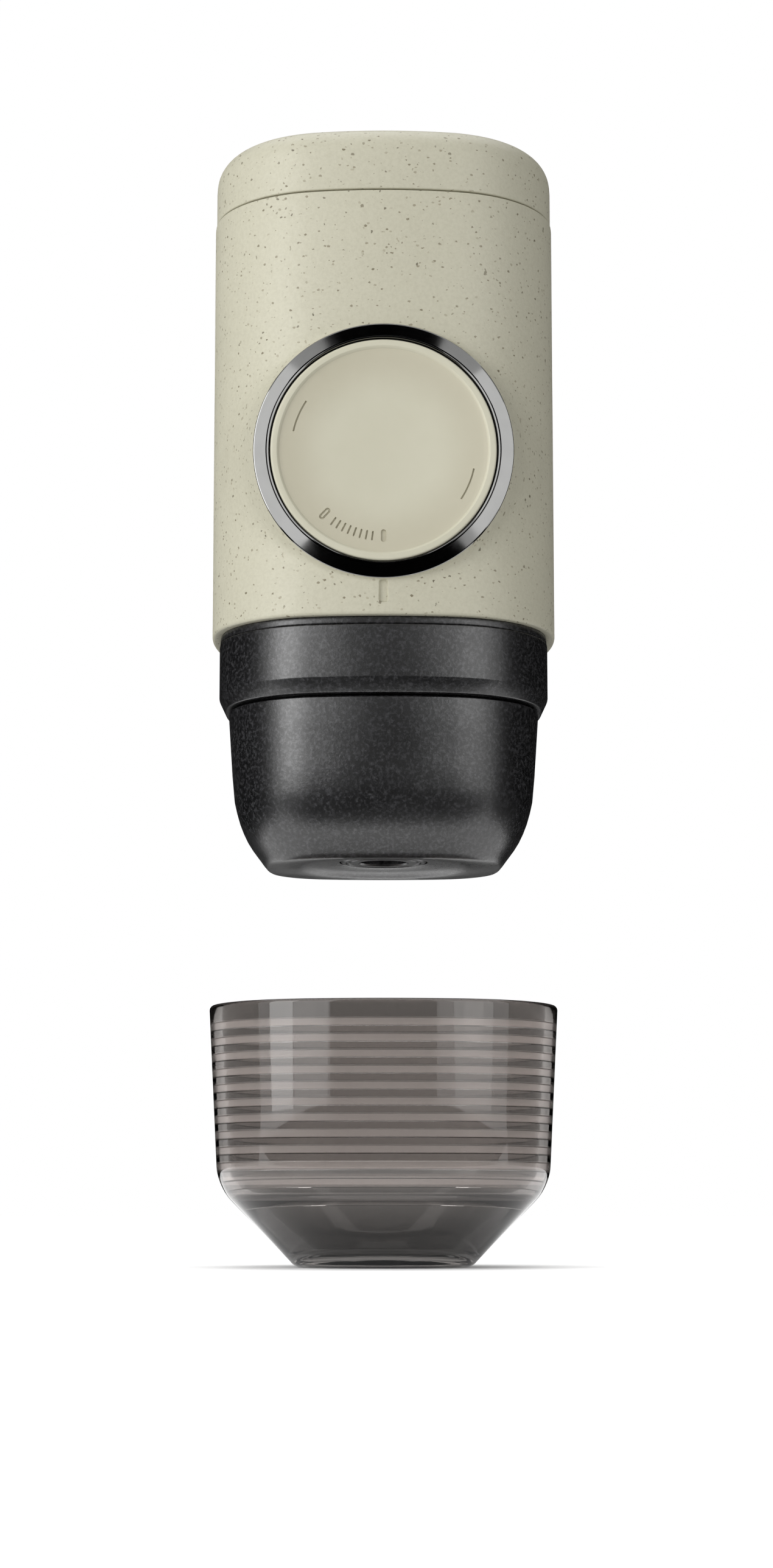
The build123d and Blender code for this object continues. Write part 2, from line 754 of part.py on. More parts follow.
with BuildPart() as knob_guide:
    with BuildSketch(across_pump(guide_back)):
        annulus(guide_radius, skirt_radius + slip)
    extrude(amount=guide_front - guide_back)
    with BuildSketch(across_pump(guide_back)):
        annulus(guide_radius, cylinder_radius + running)
    extrude(amount=guide_web)
save(knob_guide, "knob_guide")

knob_lip_inner = knob_radius - knob_lip_width
dish_edge = knob_lip_inner - knob_lip_slope
dish_front = bezel_face - knob_lip_drop
with BuildPart() as knob_cap:
    with BuildSketch(along_pump):
        with BuildLine():
            Polyline(
                (0, dish_front - knob_dish),
                (0, rod_front + slip),
                (rod_radius + slip, rod_front + slip),
                (rod_radius + slip, hub_back),
                (knob_hub_radius, hub_back),
                (knob_hub_radius, knob_plug_back),
                (skirt_radius - skirt_wall - running, knob_plug_back),
                (skirt_radius - skirt_wall - running, knob_back),
                (knob_radius, knob_back),
                (knob_radius, bezel_face),
                (knob_lip_inner, bezel_face),
                (dish_edge, dish_front),
            )
            # The dish falls away from the lip and is level again at its middle.
            Spline(
                (dish_edge, dish_front),
                (dish_edge / 2, dish_front - knob_dish_midway),
                (0, dish_front - knob_dish),
                tangents=((-1, -knob_dish_slope), (-1, 0)),
            )
        make_face()
    revolve(axis=pump_axis)
    fillet(knob_cap.edges().filter_by(GeomType.CIRCLE).group_by(Axis.Y)[0], knob_lip_round)
    # The marks for locked and unlocked.
    with BuildSketch(across_pump(dish_front - knob_mark_depth)):
        with PolarLocations(knob_mark_distance, 1, start_angle=270):
            SlotOverall(knob_mark_length, knob_mark_width)
        with PolarLocations(knob_mark_distance, 1, start_angle=270 - knob_turn_angle):
            SlotOverall(knob_mark_length, knob_mark_width)
            SlotOverall(knob_mark_length - 2 * knob_mark_line,
                        knob_mark_width - 2 * knob_mark_line, mode=Mode.SUBTRACT)
    extrude(amount=knob_plate, mode=Mode.SUBTRACT)
save(knob_cap, "knob_cap")

with BuildPart() as knob_skirt:
    with BuildSketch(across_pump(skirt_back)):
        annulus(skirt_radius, skirt_radius - skirt_wall)
    extrude(amount=skirt_length - touch)
save(knob_skirt, "knob_skirt")

# ---------------------------------------------------------------- pump
with BuildPart() as piston_rod:
    with BuildSketch(across_pump(piston_front)):
        Circle(rod_radius)
    extrude(amount=rod_front - piston_front)
    with BuildSketch(across_pump(piston_front)):
        Circle(rod_tail_radius)
    extrude(amount=-rod_tail_length)
    chamfer(piston_rod.edges().group_by(Axis.Y)[-1], edge_round)
    # The groove that the clip snaps into.
    with BuildSketch(across_pump(hub_back - slip)):
        annulus(rod_radius, rod_tail_radius + slip)
    extrude(amount=-clip_thickness, mode=Mode.SUBTRACT)
save(piston_rod, "piston_rod")

with BuildPart() as rod_clip:
    with BuildSketch(across_pump(hub_back - slip - touch)):
        annulus(clip_radius, rod_tail_radius + slip + touch)
        with Locations((0, -clip_radius)):
            Rectangle(2 * rod_tail_radius, 2 * clip_radius, mode=Mode.SUBTRACT)
    extrude(amount=2 * touch - clip_thickness)
save(rod_clip, "rod_clip")

groove_depth = piston_groove / 2 + running
with BuildPart() as piston:
    with BuildSketch(across_pump(piston_front)):
        annulus(piston_radius, rod_tail_radius + touch)
    extrude(amount=-piston_length)
    with BuildSketch(across_pump(piston_front - (piston_length - piston_groove) / 2)):
        annulus(piston_radius, piston_radius - groove_depth)
    extrude(amount=-piston_groove, mode=Mode.SUBTRACT)
save(piston, "piston")

with BuildPart() as piston_ring:
    with BuildSketch(across_pump(piston_front - (piston_length - piston_groove) / 2 - touch)):
        annulus(cylinder_bore - touch, piston_radius - groove_depth + touch)
    extrude(amount=2 * touch - piston_groove)
    fillet(piston_ring.edges().group_by(SortBy.LENGTH)[-1], edge_round)
save(piston_ring, "piston_ring")

with BuildPart() as pump_cylinder:
    with BuildSketch(across_pump(cylinder_back)):
        annulus(cylinder_radius, cylinder_bore)
    extrude(amount=cylinder_front - cylinder_back)
    with BuildSketch(across_pump(flange_back)):
        annulus(cylinder_flange_radius, cylinder_bore)
    extrude(amount=cylinder_flange)
    chamfer(pump_cylinder.edges().group_by(Axis.Y)[-1].sort_by(SortBy.LENGTH)[-1], edge_round)
save(pump_cylinder, "pump_cylinder")

with BuildPart() as rod_bush:
    with BuildSketch(across_pump(bush_back)):
        annulus(cylinder_bore - touch, rod_radius + running)
    extrude(amount=rod_bush_length)
save(rod_bush, "rod_bush")

return_spring_length = knob_plug_back - flange_front - 2 * touch
with BuildPart() as return_spring:
    with BuildLine() as return_coil:
        coil(across_pump(flange_front + touch), spring_radius, spring_wire,
             return_spring_length, spring_turns)
    with BuildSketch(across_start(return_coil.line)):
        RegularPolygon(spring_wire / 2, 8)
    sweep(path=return_coil.line, is_frenet=True)
save(return_spring, "return_spring")

# ---------------------------------------------------------------- valves
with BuildPart() as valve_block:
    with BuildSketch(across_valves(block_bottom)):
        Rectangle(block_width, block_depth)
    extrude(amount=2 * block_half_height)
    fillet(valve_block.edges().filter_by(Axis.Z).group_by(Axis.Y)[-1], block_round)
    with BuildSketch(across_valves(block_bottom)):
        Circle(valve_bore_radius)
    extrude(amount=2 * block_half_height, mode=Mode.SUBTRACT)
    with BuildSketch(across_pump(block_front)):
        Circle(port_radius)
    extrude(amount=-block_depth / 2, mode=Mode.SUBTRACT)
    with BuildSketch(across_relief(block_width / 2)):
        Circle(port_radius)
    extrude(amount=-block_width / 2, mode=Mode.SUBTRACT)
save(valve_block, "valve_block")

with BuildPart() as cylinder_cap:
    with BuildSketch(across_pump(cylinder_cap_front)):
        annulus(cylinder_radius, port_radius)
    extrude(amount=-cylinder_cap_thickness)
save(cylinder_cap, "cylinder_cap")

with BuildPart() as inlet_seat:
    with BuildSketch(across_valves(seat_bottom)):
        annulus(valve_bore_radius - touch, seat_bore_radius)
    extrude(amount=inlet_seat_length)
    with BuildSketch(across_valves(block_top)):
        annulus(barb_radius, seat_bore_radius)
    extrude(amount=barb_length)
save(inlet_seat, "inlet_seat")

with BuildPart() as inlet_ball:
    with Locations((0, valve_axis, inlet_ball_height)):
        Sphere(ball_radius)
save(inlet_ball, "inlet_ball")

inlet_spring_length = inlet_ball_height - spring_end(ball_radius) - outlet_seat_top - touch
with BuildPart() as inlet_spring:
    with BuildLine() as inlet_coil:
        coil(across_valves(outlet_seat_top + touch), valve_spring_radius, valve_spring_wire,
             inlet_spring_length, valve_spring_turns)
    with BuildSketch(across_start(inlet_coil.line)):
        RegularPolygon(valve_spring_wire / 2, 8)
    sweep(path=inlet_coil.line, is_frenet=True)
save(inlet_spring, "inlet_spring")

with BuildPart() as outlet_seat:
    with BuildSketch(across_valves(outlet_seat_bottom)):
        annulus(valve_bore_radius - touch, seat_bore_radius)
    extrude(amount=outlet_seat_length)
save(outlet_seat, "outlet_seat")

with BuildPart() as outlet_ball:
    with Locations((0, valve_axis, outlet_ball_height)):
        Sphere(ball_radius)
save(outlet_ball, "outlet_ball")

outlet_spring_length = outlet_ball_height - spring_end(ball_radius) - outlet_plug_top - touch
with BuildPart() as outlet_spring:
    with BuildLine() as outlet_coil:
        coil(across_valves(outlet_plug_top + touch), valve_spring_radius, valve_spring_wire,
             outlet_spring_length, short_spring_turns)
    with BuildSketch(across_start(outlet_coil.line)):
        RegularPolygon(valve_spring_wire / 2, 8)
    sweep(path=outlet_coil.line, is_frenet=True)
save(outlet_spring, "outlet_spring")

with BuildPart() as outlet_plug:
    with BuildSketch(across_valves(block_bottom)):
        annulus(valve_bore_radius - touch, seat_bore_radius)
    extrude(amount=outlet_plug_length)
    with BuildSketch(across_valves(block_bottom)):
        annulus(barb_radius, seat_bore_radius)
    extrude(amount=-barb_length)
save(outlet_plug, "outlet_plug")

# The relief valve lies sideways and lets water back when the pressure is too high.
relief_bore = relief_ball_radius + slip
relief_start = block_width / 2 + touch
relief_end = relief_start + relief_barrel_length
relief_ball_drop = (relief_ball_radius ** 2 - seat_bore_radius ** 2) ** 0.5
relief_ball_x = relief_start + relief_seat_length + relief_ball_drop + touch

with BuildPart() as relief_barrel:
    with BuildSketch(across_relief(relief_start)):
        annulus(relief_barrel_radius, seat_bore_radius)
    extrude(amount=relief_seat_length)
    with BuildSketch(across_relief(relief_start + relief_seat_length)):
        annulus(relief_barrel_radius, relief_bore)
    extrude(amount=relief_barrel_length - relief_seat_length)
save(relief_barrel, "relief_barrel")

with BuildPart() as relief_ball:
    with Locations((relief_ball_x, valve_axis, relief_height)):
        Sphere(relief_ball_radius)
save(relief_ball, "relief_ball")

with BuildPart() as relief_plug:
    with BuildSketch(across_relief(relief_end - relief_plug_length)):
        annulus(relief_bore - touch, relief_drain_radius)
    extrude(amount=relief_plug_length)
save(relief_plug, "relief_plug")

relief_spring_start = relief_ball_x + spring_end(relief_ball_radius)
relief_spring_length = relief_end - relief_plug_length - touch - relief_spring_start
with BuildPart() as relief_spring:
    with BuildLine() as relief_coil:
        coil(across_relief(relief_spring_start), valve_spring_radius, valve_spring_wire,
             relief_spring_length, short_spring_turns)
    with BuildSketch(across_start(relief_coil.line)):
        RegularPolygon(valve_spring_wire / 2, 8)
    sweep(path=relief_coil.line, is_frenet=True)
save(relief_spring, "relief_spring")

# ---------------------------------------------------------------- tubes
tube_radius = tube_bore + tube_wall
tube_bend = tube_radius + tube_bend_clearance
run_height = frame_top + slip + tube_radius
with BuildPart() as outlet_tube:
    with BuildLine() as tube_route:
        FilletPolyline(
            (0, valve_axis, block_bottom - touch),
            (0, valve_axis, run_height),
            (0, 0, run_height),
            (0, 0, boss_top + touch),
            radius=tube_bend,
        )
    with BuildSketch(across_start(tube_route.line)):
        annulus(tube_radius, tube_bore)
    sweep(path=tube_route.line)
save(outlet_tube, "outlet_tube")

with BuildPart() as inlet_tube:
    with BuildSketch(across_valves(block_top + touch)):
        annulus(tube_radius, tube_bore)
    extrude(amount=socket_bottom - block_top - 2 * touch)
save(inlet_tube, "inlet_tube")

# ---------------------------------------------------------------- tank
with BuildPart() as tank_socket:
    extrude(oval(socket_inset, socket_bottom), amount=socket_floor)
    with BuildSketch(Plane.XY.offset(socket_top)):
        annulus(socket_inner_radius + socket_wall, socket_inner_radius)
    extrude(amount=socket_height)
    with BuildSketch(across_valves(socket_bottom)):
        Circle(barb_radius)
    extrude(amount=-barb_length)
    with BuildSketch(across_valves(socket_bottom - barb_length)):
        Circle(seat_bore_radius)
    extrude(amount=barb_length + socket_floor, mode=Mode.SUBTRACT)
    with BuildSketch(across_valves(socket_top)):
        Circle(strainer_radius + running)
    extrude(amount=-strainer_thickness, mode=Mode.SUBTRACT)
save(tank_socket, "tank_socket")

with BuildPart() as strainer:
    with BuildSketch(across_valves(socket_top - strainer_thickness + touch)):
        Circle(strainer_radius)
        with HexLocations(strainer_hole_pitch, 3, 3):
            RegularPolygon(strainer_hole_radius, 4, mode=Mode.SUBTRACT)
    extrude(amount=strainer_thickness - touch)
save(strainer, "strainer")

with BuildPart() as tank_seal:
    with BuildSketch(Plane.XY.offset(seal_bottom)):
        annulus(tank_radius, tank_radius - tank_seal_width)
    extrude(amount=tank_seal_thickness)
save(tank_seal, "tank_seal")

with BuildPart() as water_tank:
    with BuildSketch(Plane.XY.offset(tank_mouth)):
        Circle(tank_radius)
    extrude(amount=tank_ceiling - tank_mouth)
    fillet(water_tank.edges().group_by(Axis.Z)[-1], tank_top_round)
    offset(amount=-tank_wall, openings=water_tank.faces().sort_by(Axis.Z)[0])
save(water_tank, "water_tank")

with BuildPart() as tank_cap:
    extrude(oval(cap_inset, cap_bottom), amount=cap_height)
    fillet(tank_cap.edges().group_by(Axis.Z)[-1], cap_round)
    fillet(tank_cap.edges().group_by(Axis.Z)[0], fine_round)
    with BuildSketch(Plane.XY.offset(cap_bottom)):
        Circle(tank_radius + slip)
    extrude(amount=cap_height - cap_ceiling, mode=Mode.SUBTRACT)
save(tank_cap, "tank_cap")
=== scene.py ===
import json
import math

import bmesh
import bpy
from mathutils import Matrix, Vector
from mathutils.geometry import delaunay_2d_cdt


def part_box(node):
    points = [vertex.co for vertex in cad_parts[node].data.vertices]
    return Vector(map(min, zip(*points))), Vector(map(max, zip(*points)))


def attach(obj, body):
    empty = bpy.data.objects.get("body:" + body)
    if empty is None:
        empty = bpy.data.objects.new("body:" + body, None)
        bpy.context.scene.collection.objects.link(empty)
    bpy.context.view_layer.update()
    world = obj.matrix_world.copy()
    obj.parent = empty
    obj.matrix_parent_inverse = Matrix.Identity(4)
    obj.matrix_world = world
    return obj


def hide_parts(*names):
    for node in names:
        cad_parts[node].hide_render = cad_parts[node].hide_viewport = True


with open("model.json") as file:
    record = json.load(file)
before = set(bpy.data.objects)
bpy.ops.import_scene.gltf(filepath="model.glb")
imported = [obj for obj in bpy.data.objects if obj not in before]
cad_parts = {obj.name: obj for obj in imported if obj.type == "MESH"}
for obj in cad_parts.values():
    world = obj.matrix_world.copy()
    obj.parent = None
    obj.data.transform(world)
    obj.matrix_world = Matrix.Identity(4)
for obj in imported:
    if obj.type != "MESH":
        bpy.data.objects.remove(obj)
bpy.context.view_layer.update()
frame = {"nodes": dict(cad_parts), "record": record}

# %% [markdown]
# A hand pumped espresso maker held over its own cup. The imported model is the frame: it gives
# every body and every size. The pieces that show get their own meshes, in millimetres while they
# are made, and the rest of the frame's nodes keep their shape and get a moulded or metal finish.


# %% [markdown]
# Heights and radii come from the frame's own boxes, so each new piece stays where its node is.
# A box is read in metres and turned to millimetres once, here.

# %% Sizes read from the frame
def node_box(name):
    """The lowest and highest corner of a node, in millimetres."""
    low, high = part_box(name)
    return low * 1000, high * 1000


shell_low, shell_high = node_box("body_shell")
cap_low, cap_high = node_box("tank_cap")
collar_low, collar_high = node_box("collar_ring")
neck_low, neck_high = node_box("neck_ring")
bowl_low, bowl_high = node_box("outlet_bowl")
nozzle_low, nozzle_high = node_box("outlet_nozzle")
bezel_low, bezel_high = node_box("bezel_ring")
knob_low, knob_high = node_box("knob_cap")
cup_top = node_box("cup")[1].z

half_width = (shell_high.x - shell_low.x) / 2
half_depth = shell_high.y
knob_height = (knob_low.z + knob_high.z) / 2
knob_radius = (knob_high.x - knob_low.x) / 2
knob_back = -knob_high.y
bezel_outer = (bezel_high.x - bezel_low.x) / 2
bezel_face = -bezel_low.y
print("knob at", round(knob_height, 2), "bezel", round(bezel_outer, 2), round(bezel_face, 2))

# %% [markdown]
# The outline seen from above is four shallow bows that meet in four round corners. One function
# walks round it by arc length and can step inwards, so rings at any inset share their columns.
# A stretched circle would be quicker, but its corners would be too soft for this body.

# %% The oval outline
FRONT_BOW = 80.0
SIDE_BOW = 76.0
CORNER = 23.8
FOOT_HALF_WIDTH = 17.0
FOOT_HALF_DEPTH = 15.5
FOOT_BOW = 24.0
FOOT_CORNER = 13.0


def arcs_of(reach_x, reach_y, front, side, corner):
    """The arcs of a quarter outline: middle x, middle y, radius, first and last angle."""
    front_span = front - reach_y
    side_span = side - reach_x
    span = math.hypot(front_span, side_span)
    inner_front = front - corner
    inner_side = side - corner
    along = (inner_side ** 2 - inner_front ** 2 + span ** 2) / (2 * span)
    off = math.sqrt(inner_side ** 2 - along ** 2)
    corner_x = (along * side_span + off * front_span) / span - side_span
    corner_y = (off * side_span - along * front_span) / span
    first = math.atan2(corner_x, corner_y + front_span)
    last = math.atan2(corner_x + side_span, corner_y)
    return (
        (0.0, -front_span, front, 0.0, first),
        (corner_x, corner_y, corner, first, last),
        (-side_span, 0.0, side, last, math.pi / 2),
    )


BODY_ARCS = arcs_of(half_width, half_depth, FRONT_BOW, SIDE_BOW, CORNER)
FOOT_ARCS = arcs_of(FOOT_HALF_WIDTH, FOOT_HALF_DEPTH, FOOT_BOW, FOOT_BOW, FOOT_CORNER)
QUARTER = sum(radius * (last - first) for _, _, radius, first, last in BODY_ARCS)


def normal_angle(length):
    """The angle of the outline's normal after a length, a quarter at most."""
    for _, _, radius, first, last in BODY_ARCS:
        reach = radius * (last - first)
        if length <= reach:
            return first + length / radius
        length -= reach
    return math.pi / 2


def oval_point(s, inset=0.0, arcs=BODY_ARCS):
    """x and y of an outline, s millimetres round the body from the front's middle."""
    s = s % (4 * QUARTER)
    quadrant = min(3, int(s // QUARTER))
    folded = (s, 2 * QUARTER - s, s - 2 * QUARTER, 4 * QUARTER - s)[quadrant]
    angle = normal_angle(folded)
    arc = next((a for a in arcs if angle <= a[4] + 1e-9), arcs[-1])
    x = arc[0] + (arc[2] - inset) * math.sin(angle)
    forward = arc[1] + (arc[2] - inset) * math.cos(angle)
    return (x if quadrant < 2 else -x), (-forward if quadrant in (0, 3) else forward)


def even_columns(bow, bend, side):
    """Places round the outline: steps on a half bow, in a corner and on a half side."""
    edge = FRONT_BOW * BODY_ARCS[0][4]
    end = edge + CORNER * (BODY_ARCS[1][4] - BODY_ARCS[1][3])
    quarter = [edge * i / bow for i in range(bow)]
    quarter += [edge + (end - edge) * i / bend for i in range(bend)]
    quarter += [end + (QUARTER - end) * i / side for i in range(side)]
    half = quarter + [2 * QUARTER - s for s in reversed(quarter[1:] + [QUARTER])]
    return half + [2 * QUARTER + s for s in half]


COLUMNS = even_columns(bow=8, bend=34, side=5)
print("outline", round(4 * QUARTER, 1), "mm round,", len(COLUMNS), "columns")


# %% [markdown]
# Most pieces are a stack of level rings. The first ring is Blender's circle with its vertices
# moved on to the outline; each further ring is an extrusion of the last one's edges, moved to its
# place. Edges that are round on the real piece are then bevelled, which keeps the stack short.

# %% Rings
def oval(inset, height, arcs=BODY_ARCS):
    """The places of a level ring on an outline."""
    return [(*oval_point(s, inset, arcs), height) for s in COLUMNS]


def circle(radius, height):
    """The places of a level circle that shares the outline's columns."""
    places = []
    for s in COLUMNS:
        out = Vector(oval_point(s)).normalized() * radius
        places.append((out.x, out.y, height))
    return places


def first_ring(bm, places):
    """A closed row of vertices at its places."""
    row = bmesh.ops.create_circle(bm, segments=len(places), radius=1.0)["verts"]
    for vertex, spot in zip(row, places):
        vertex.co = spot
    return row


def row_edges(bm, row, closed=True):
    """The edges along a row of vertices."""
    nexts = row[1:] + row[:1] if closed else row[1:]
    return [bm.edges.get(pair) for pair in zip(row, nexts)]


def grow(bm, row, places, closed=True):
    """Extrudes a row's edges and moves the new row to its places."""
    made = bmesh.ops.extrude_edge_only(bm, edges=row_edges(bm, row, closed))["geom"]
    fresh = {part for part in made if isinstance(part, bmesh.types.BMVert)}
    grown = []
    for vertex, spot in zip(row, places):
        ends = [edge.other_vert(vertex) for edge in vertex.link_edges]
        new = next(end for end in ends if end in fresh)
        new.co = spot
        grown.append(new)
    return grown


def stack(bm, rows, start=None):
    """Grows one ring after another and gives them all back."""
    rings = [start or first_ring(bm, rows.pop(0))]
    for places in rows:
        rings.append(grow(bm, rings[-1], places))
    return rings


def close_stack(bm, rings):
    """Joins the last ring of a stack to its first."""
    bmesh.ops.bridge_loops(bm, edges=row_edges(bm, rings[-1]) + row_edges(bm, rings[0]))


def round_edge(bm, row, width, segments):
    """Bevels a closed row of edges."""
    bmesh.ops.bevel(bm, geom=row_edges(bm, row), offset=width, offset_type="OFFSET",
                    segments=segments, profile=0.5, affect="EDGES", material=-1,
                    clamp_overlap=False)


def cover(bm, row):
    """Closes a row with one flat face, so that its edge can be rounded."""
    bmesh.ops.edgeloop_fill(bm, edges=row_edges(bm, row))


def spin_profile(bm, profile, centre, axis, steps):
    """Spins a row of points into a closed solid."""
    verts = [bm.verts.new(spot) for spot in profile]
    edges = [bm.edges.new(pair) for pair in zip(verts, verts[1:])]
    bmesh.ops.spin(bm, geom=verts + edges, cent=centre, axis=axis, angle=2 * math.pi,
                   steps=steps, use_merge=True, use_duplicate=False)


# %% [markdown]
# Every piece ends the same way: doubles are welded, open ends filled, normals turned out,
# millimetres made metres, and edges steeper than an angle left crisp. The object stays at the
# origin with its place in its vertices, so a joint's pose carries it without any offset.

# %% Finishing a piece
def new_object(name, data):
    """An object in the scene, at the origin."""
    thing = bpy.data.objects.new(name, data)
    bpy.context.scene.collection.objects.link(thing)
    return thing


def mesh_object(name, bm):
    """An object that takes over a finished bmesh."""
    mesh = bpy.data.meshes.new(name)
    bm.to_mesh(mesh)
    bm.free()
    return new_object(name, mesh)


def finish_mesh(bm, name, crisp=32.0, fill=True):
    """Turns a mesh in millimetres into a finished object in metres."""
    bmesh.ops.remove_doubles(bm, verts=bm.verts, dist=1e-4)
    if fill:
        bmesh.ops.holes_fill(bm, edges=bm.edges, sides=0)
    bmesh.ops.recalc_face_normals(bm, faces=bm.faces)
    bmesh.ops.scale(bm, verts=bm.verts, vec=(0.001, 0.001, 0.001))
    piece = mesh_object(name, bm)
    piece.data.shade_smooth()
    piece.data.set_sharp_from_angle(angle=math.radians(crisp))
    return piece


def dress(piece, body, slot, material, *nodes):
    """Gives a piece its body and finish, and hides the nodes it stands for. Its slot is not used.
    """
    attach(piece, body)
    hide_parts(*nodes)
    piece.data.materials.append(material)
    print(piece.name, len(piece.data.vertices), "vertices")


# %% [markdown]
# Finishes are node materials. A small wrapper adds a node with its settings and its inputs in one
# line, which keeps each recipe short enough to read.

# %% Node helpers
def new_material(name):
    """An empty node material and its tree."""
    material = bpy.data.materials.new(name)
    material.use_nodes = True
    material.node_tree.nodes.clear()
    return material, material.node_tree


def feed(tree, socket, value):
    """Links a socket, or sets a number or a colour."""
    if isinstance(value, bpy.types.NodeSocket):
        tree.links.new(value, socket)
    else:
        socket.default_value = value


def add(tree, kind, inputs=None, **settings):
    """Adds a shader node with its settings and inputs."""
    node = tree.nodes.new("ShaderNode" + kind)
    for key, value in settings.items():
        setattr(node, key, value)
    for key, value in (inputs or {}).items():
        feed(tree, node.inputs[key], value)
    return node


def place(tree, scale=(1, 1, 1), turn=(0, 0, 0)):
    """Object coordinates, scaled and turned."""
    coordinates = add(tree, "TexCoord")
    mapping = add(tree, "Mapping", {"Vector": coordinates.outputs["Object"],
                                    "Scale": scale, "Rotation": turn})
    return mapping.outputs["Vector"]


def noise(tree, scale, detail=2.0, vector=None, roughness=0.5):
    """A noise texture's factor; the scale is in cells for each metre."""
    made = add(tree, "TexNoise", {"Vector": vector or place(tree), "Scale": scale,
                                  "Detail": detail, "Roughness": roughness})
    return made.outputs["Fac"]


def remap(tree, value, low, high, new_low=0.0, new_high=1.0, kind="LINEAR"):
    """Maps a range of a value on to another."""
    made = add(tree, "MapRange", {"Value": value, "From Min": low, "From Max": high,
                                  "To Min": new_low, "To Max": new_high},
               interpolation_type=kind)
    return made.outputs["Result"]


def blend(tree, factor, first, second):
    """Mixes two colours."""
    made = add(tree, "Mix", {0: factor, 6: first, 7: second}, data_type="RGBA")
    return made.outputs[2]


def arithmetic(tree, operation, *values):
    """A maths node."""
    return add(tree, "Math", dict(enumerate(values)), operation=operation).outputs[0]


def bump(tree, height, strength, distance, under=None):
    """A bump normal, distance in metres."""
    inputs = {"Height": height, "Strength": strength, "Distance": distance}
    if under is not None:
        inputs["Normal"] = under
    return add(tree, "Bump", inputs).outputs["Normal"]


def surface(tree, inputs):
    """The shader and the output."""
    shader = add(tree, "BsdfPrincipled", inputs)
    add(tree, "OutputMaterial", {"Surface": shader.outputs[0]})


def srgb(code):
    """A linear colour from an sRGB code."""
    values = [int(code[i:i + 2], 16) / 255 for i in (0, 2, 4)]
    return tuple(v / 12.92 if v <= 0.04045 else ((v + 0.055) / 1.055) ** 2.4
                 for v in values) + (1.0,)


# %% [markdown]
# The shell is a plastic filled with plant fibre: a warm grey green with small brown and grey
# flakes in its surface, and a fine spark eroded grain. The flakes come from Voronoi fields turned
# against each other. Only some cells hold a flake, each with its own size and shade, and a noise
# pulls the cells out of true so that no flake is a neat dot.

# %% Flakes
def flakes(tree, cells, turn, stretch, share, largest):
    """A mask of small flakes and a shade for each; cells is their count for each metre."""
    ragged = add(tree, "TexNoise", {"Vector": place(tree), "Scale": cells * 2.5, "Detail": 2.0})
    pull = add(tree, "VectorMath", {0: ragged.outputs["Color"], "Scale": 0.45 / cells},
               operation="SCALE")
    spot = add(tree, "VectorMath", {0: place(tree, stretch, turn), 1: pull.outputs[0]},
               operation="ADD")
    cell = add(tree, "TexVoronoi", {"Vector": spot.outputs[0], "Scale": cells}, feature="F1")
    parts = add(tree, "SeparateColor", {"Color": cell.outputs["Color"]})
    size = remap(tree, parts.outputs["Red"], 1.0 - share, 1.0, largest * 0.25, largest)
    edge = arithmetic(tree, "MULTIPLY", size, 0.7)
    mask = remap(tree, cell.outputs["Distance"], size, edge)
    chosen = arithmetic(tree, "GREATER_THAN", parts.outputs["Red"], 1.0 - share)
    return arithmetic(tree, "MULTIPLY", mask, chosen), parts.outputs["Green"]


# Cells for each metre, turn, stretch, share with a flake, largest flake, dark and pale tone.
FLAKE_FIELDS = (
    (430.0, (0.4, 0.2, 0.9), (1.0, 1.0, 0.6), 0.40, 0.18, "66614F", "958A72"),
    (700.0, (1.1, 0.7, 0.3), (1.0, 0.6, 1.0), 0.55, 0.22, "686150", "948B73"),
    (1150.0, (0.2, 1.3, 2.0), (0.7, 1.0, 1.0), 0.60, 0.33, "766D57", "9A9078"),
    (260.0, (2.2, 0.4, 1.4), (0.8, 1.0, 0.6), 0.12, 0.12, "56513F", "7D6B50"),
)


# %% [markdown]
# The shell's own tone is nearly even. A fine mottle takes it down in small dull patches, and the
# flakes lie over it, each a little sunk. The knob is the same plastic without flakes, a touch
# warmer, and its colour carries painted shade: darker and browner in the shallow recess inside its
# lip.

# %% Speckled shell plastic and the knob's plastic
PAINTED_SHADE_SPAN = (0.0095, 0.0185)
PAINTED_SHADE_EDGE = (0.0198, 0.0202)


def speckled_plastic():
    """The finish of the shell and the cap."""
    material, tree = new_material("speckled_plastic")
    cloud = noise(tree, 30.0, 3.0)
    mottle = noise(tree, 1500.0, 3.0, roughness=0.65)
    tone = blend(tree, remap(tree, cloud, 0.35, 0.65), srgb("C6C3AF"), srgb("C9C6B2"))
    tone = blend(tree, remap(tree, mottle, 0.4, 0.7, 0.0, 0.35), tone, srgb("B4B09B"))
    dents = None
    for cells, turn, stretch, share, largest, dark, pale in FLAKE_FIELDS:
        mask, shade = flakes(tree, cells, turn, stretch, share, largest)
        strength = arithmetic(tree, "MULTIPLY", mask, remap(tree, shade, 0.0, 1.0, 0.95, 0.45))
        tone = blend(tree, strength, tone, blend(tree, shade, srgb(dark), srgb(pale)))
        dents = mask if dents is None else arithmetic(tree, "MAXIMUM", dents, mask)
    grain = noise(tree, 2600.0, 2.0)
    soft = noise(tree, 900.0, 2.0)
    normal = bump(tree, grain, 0.5, 0.00005)
    normal = bump(tree, soft, 0.3, 0.0001, normal)
    normal = bump(tree, dents, -0.3, 0.00004, normal)
    rough = remap(tree, soft, 0.3, 0.7, 0.40, 0.52)
    surface(tree, {"Base Color": tone, "Roughness": rough, "Normal": normal,
                   "Specular IOR Level": 0.45})
    return material


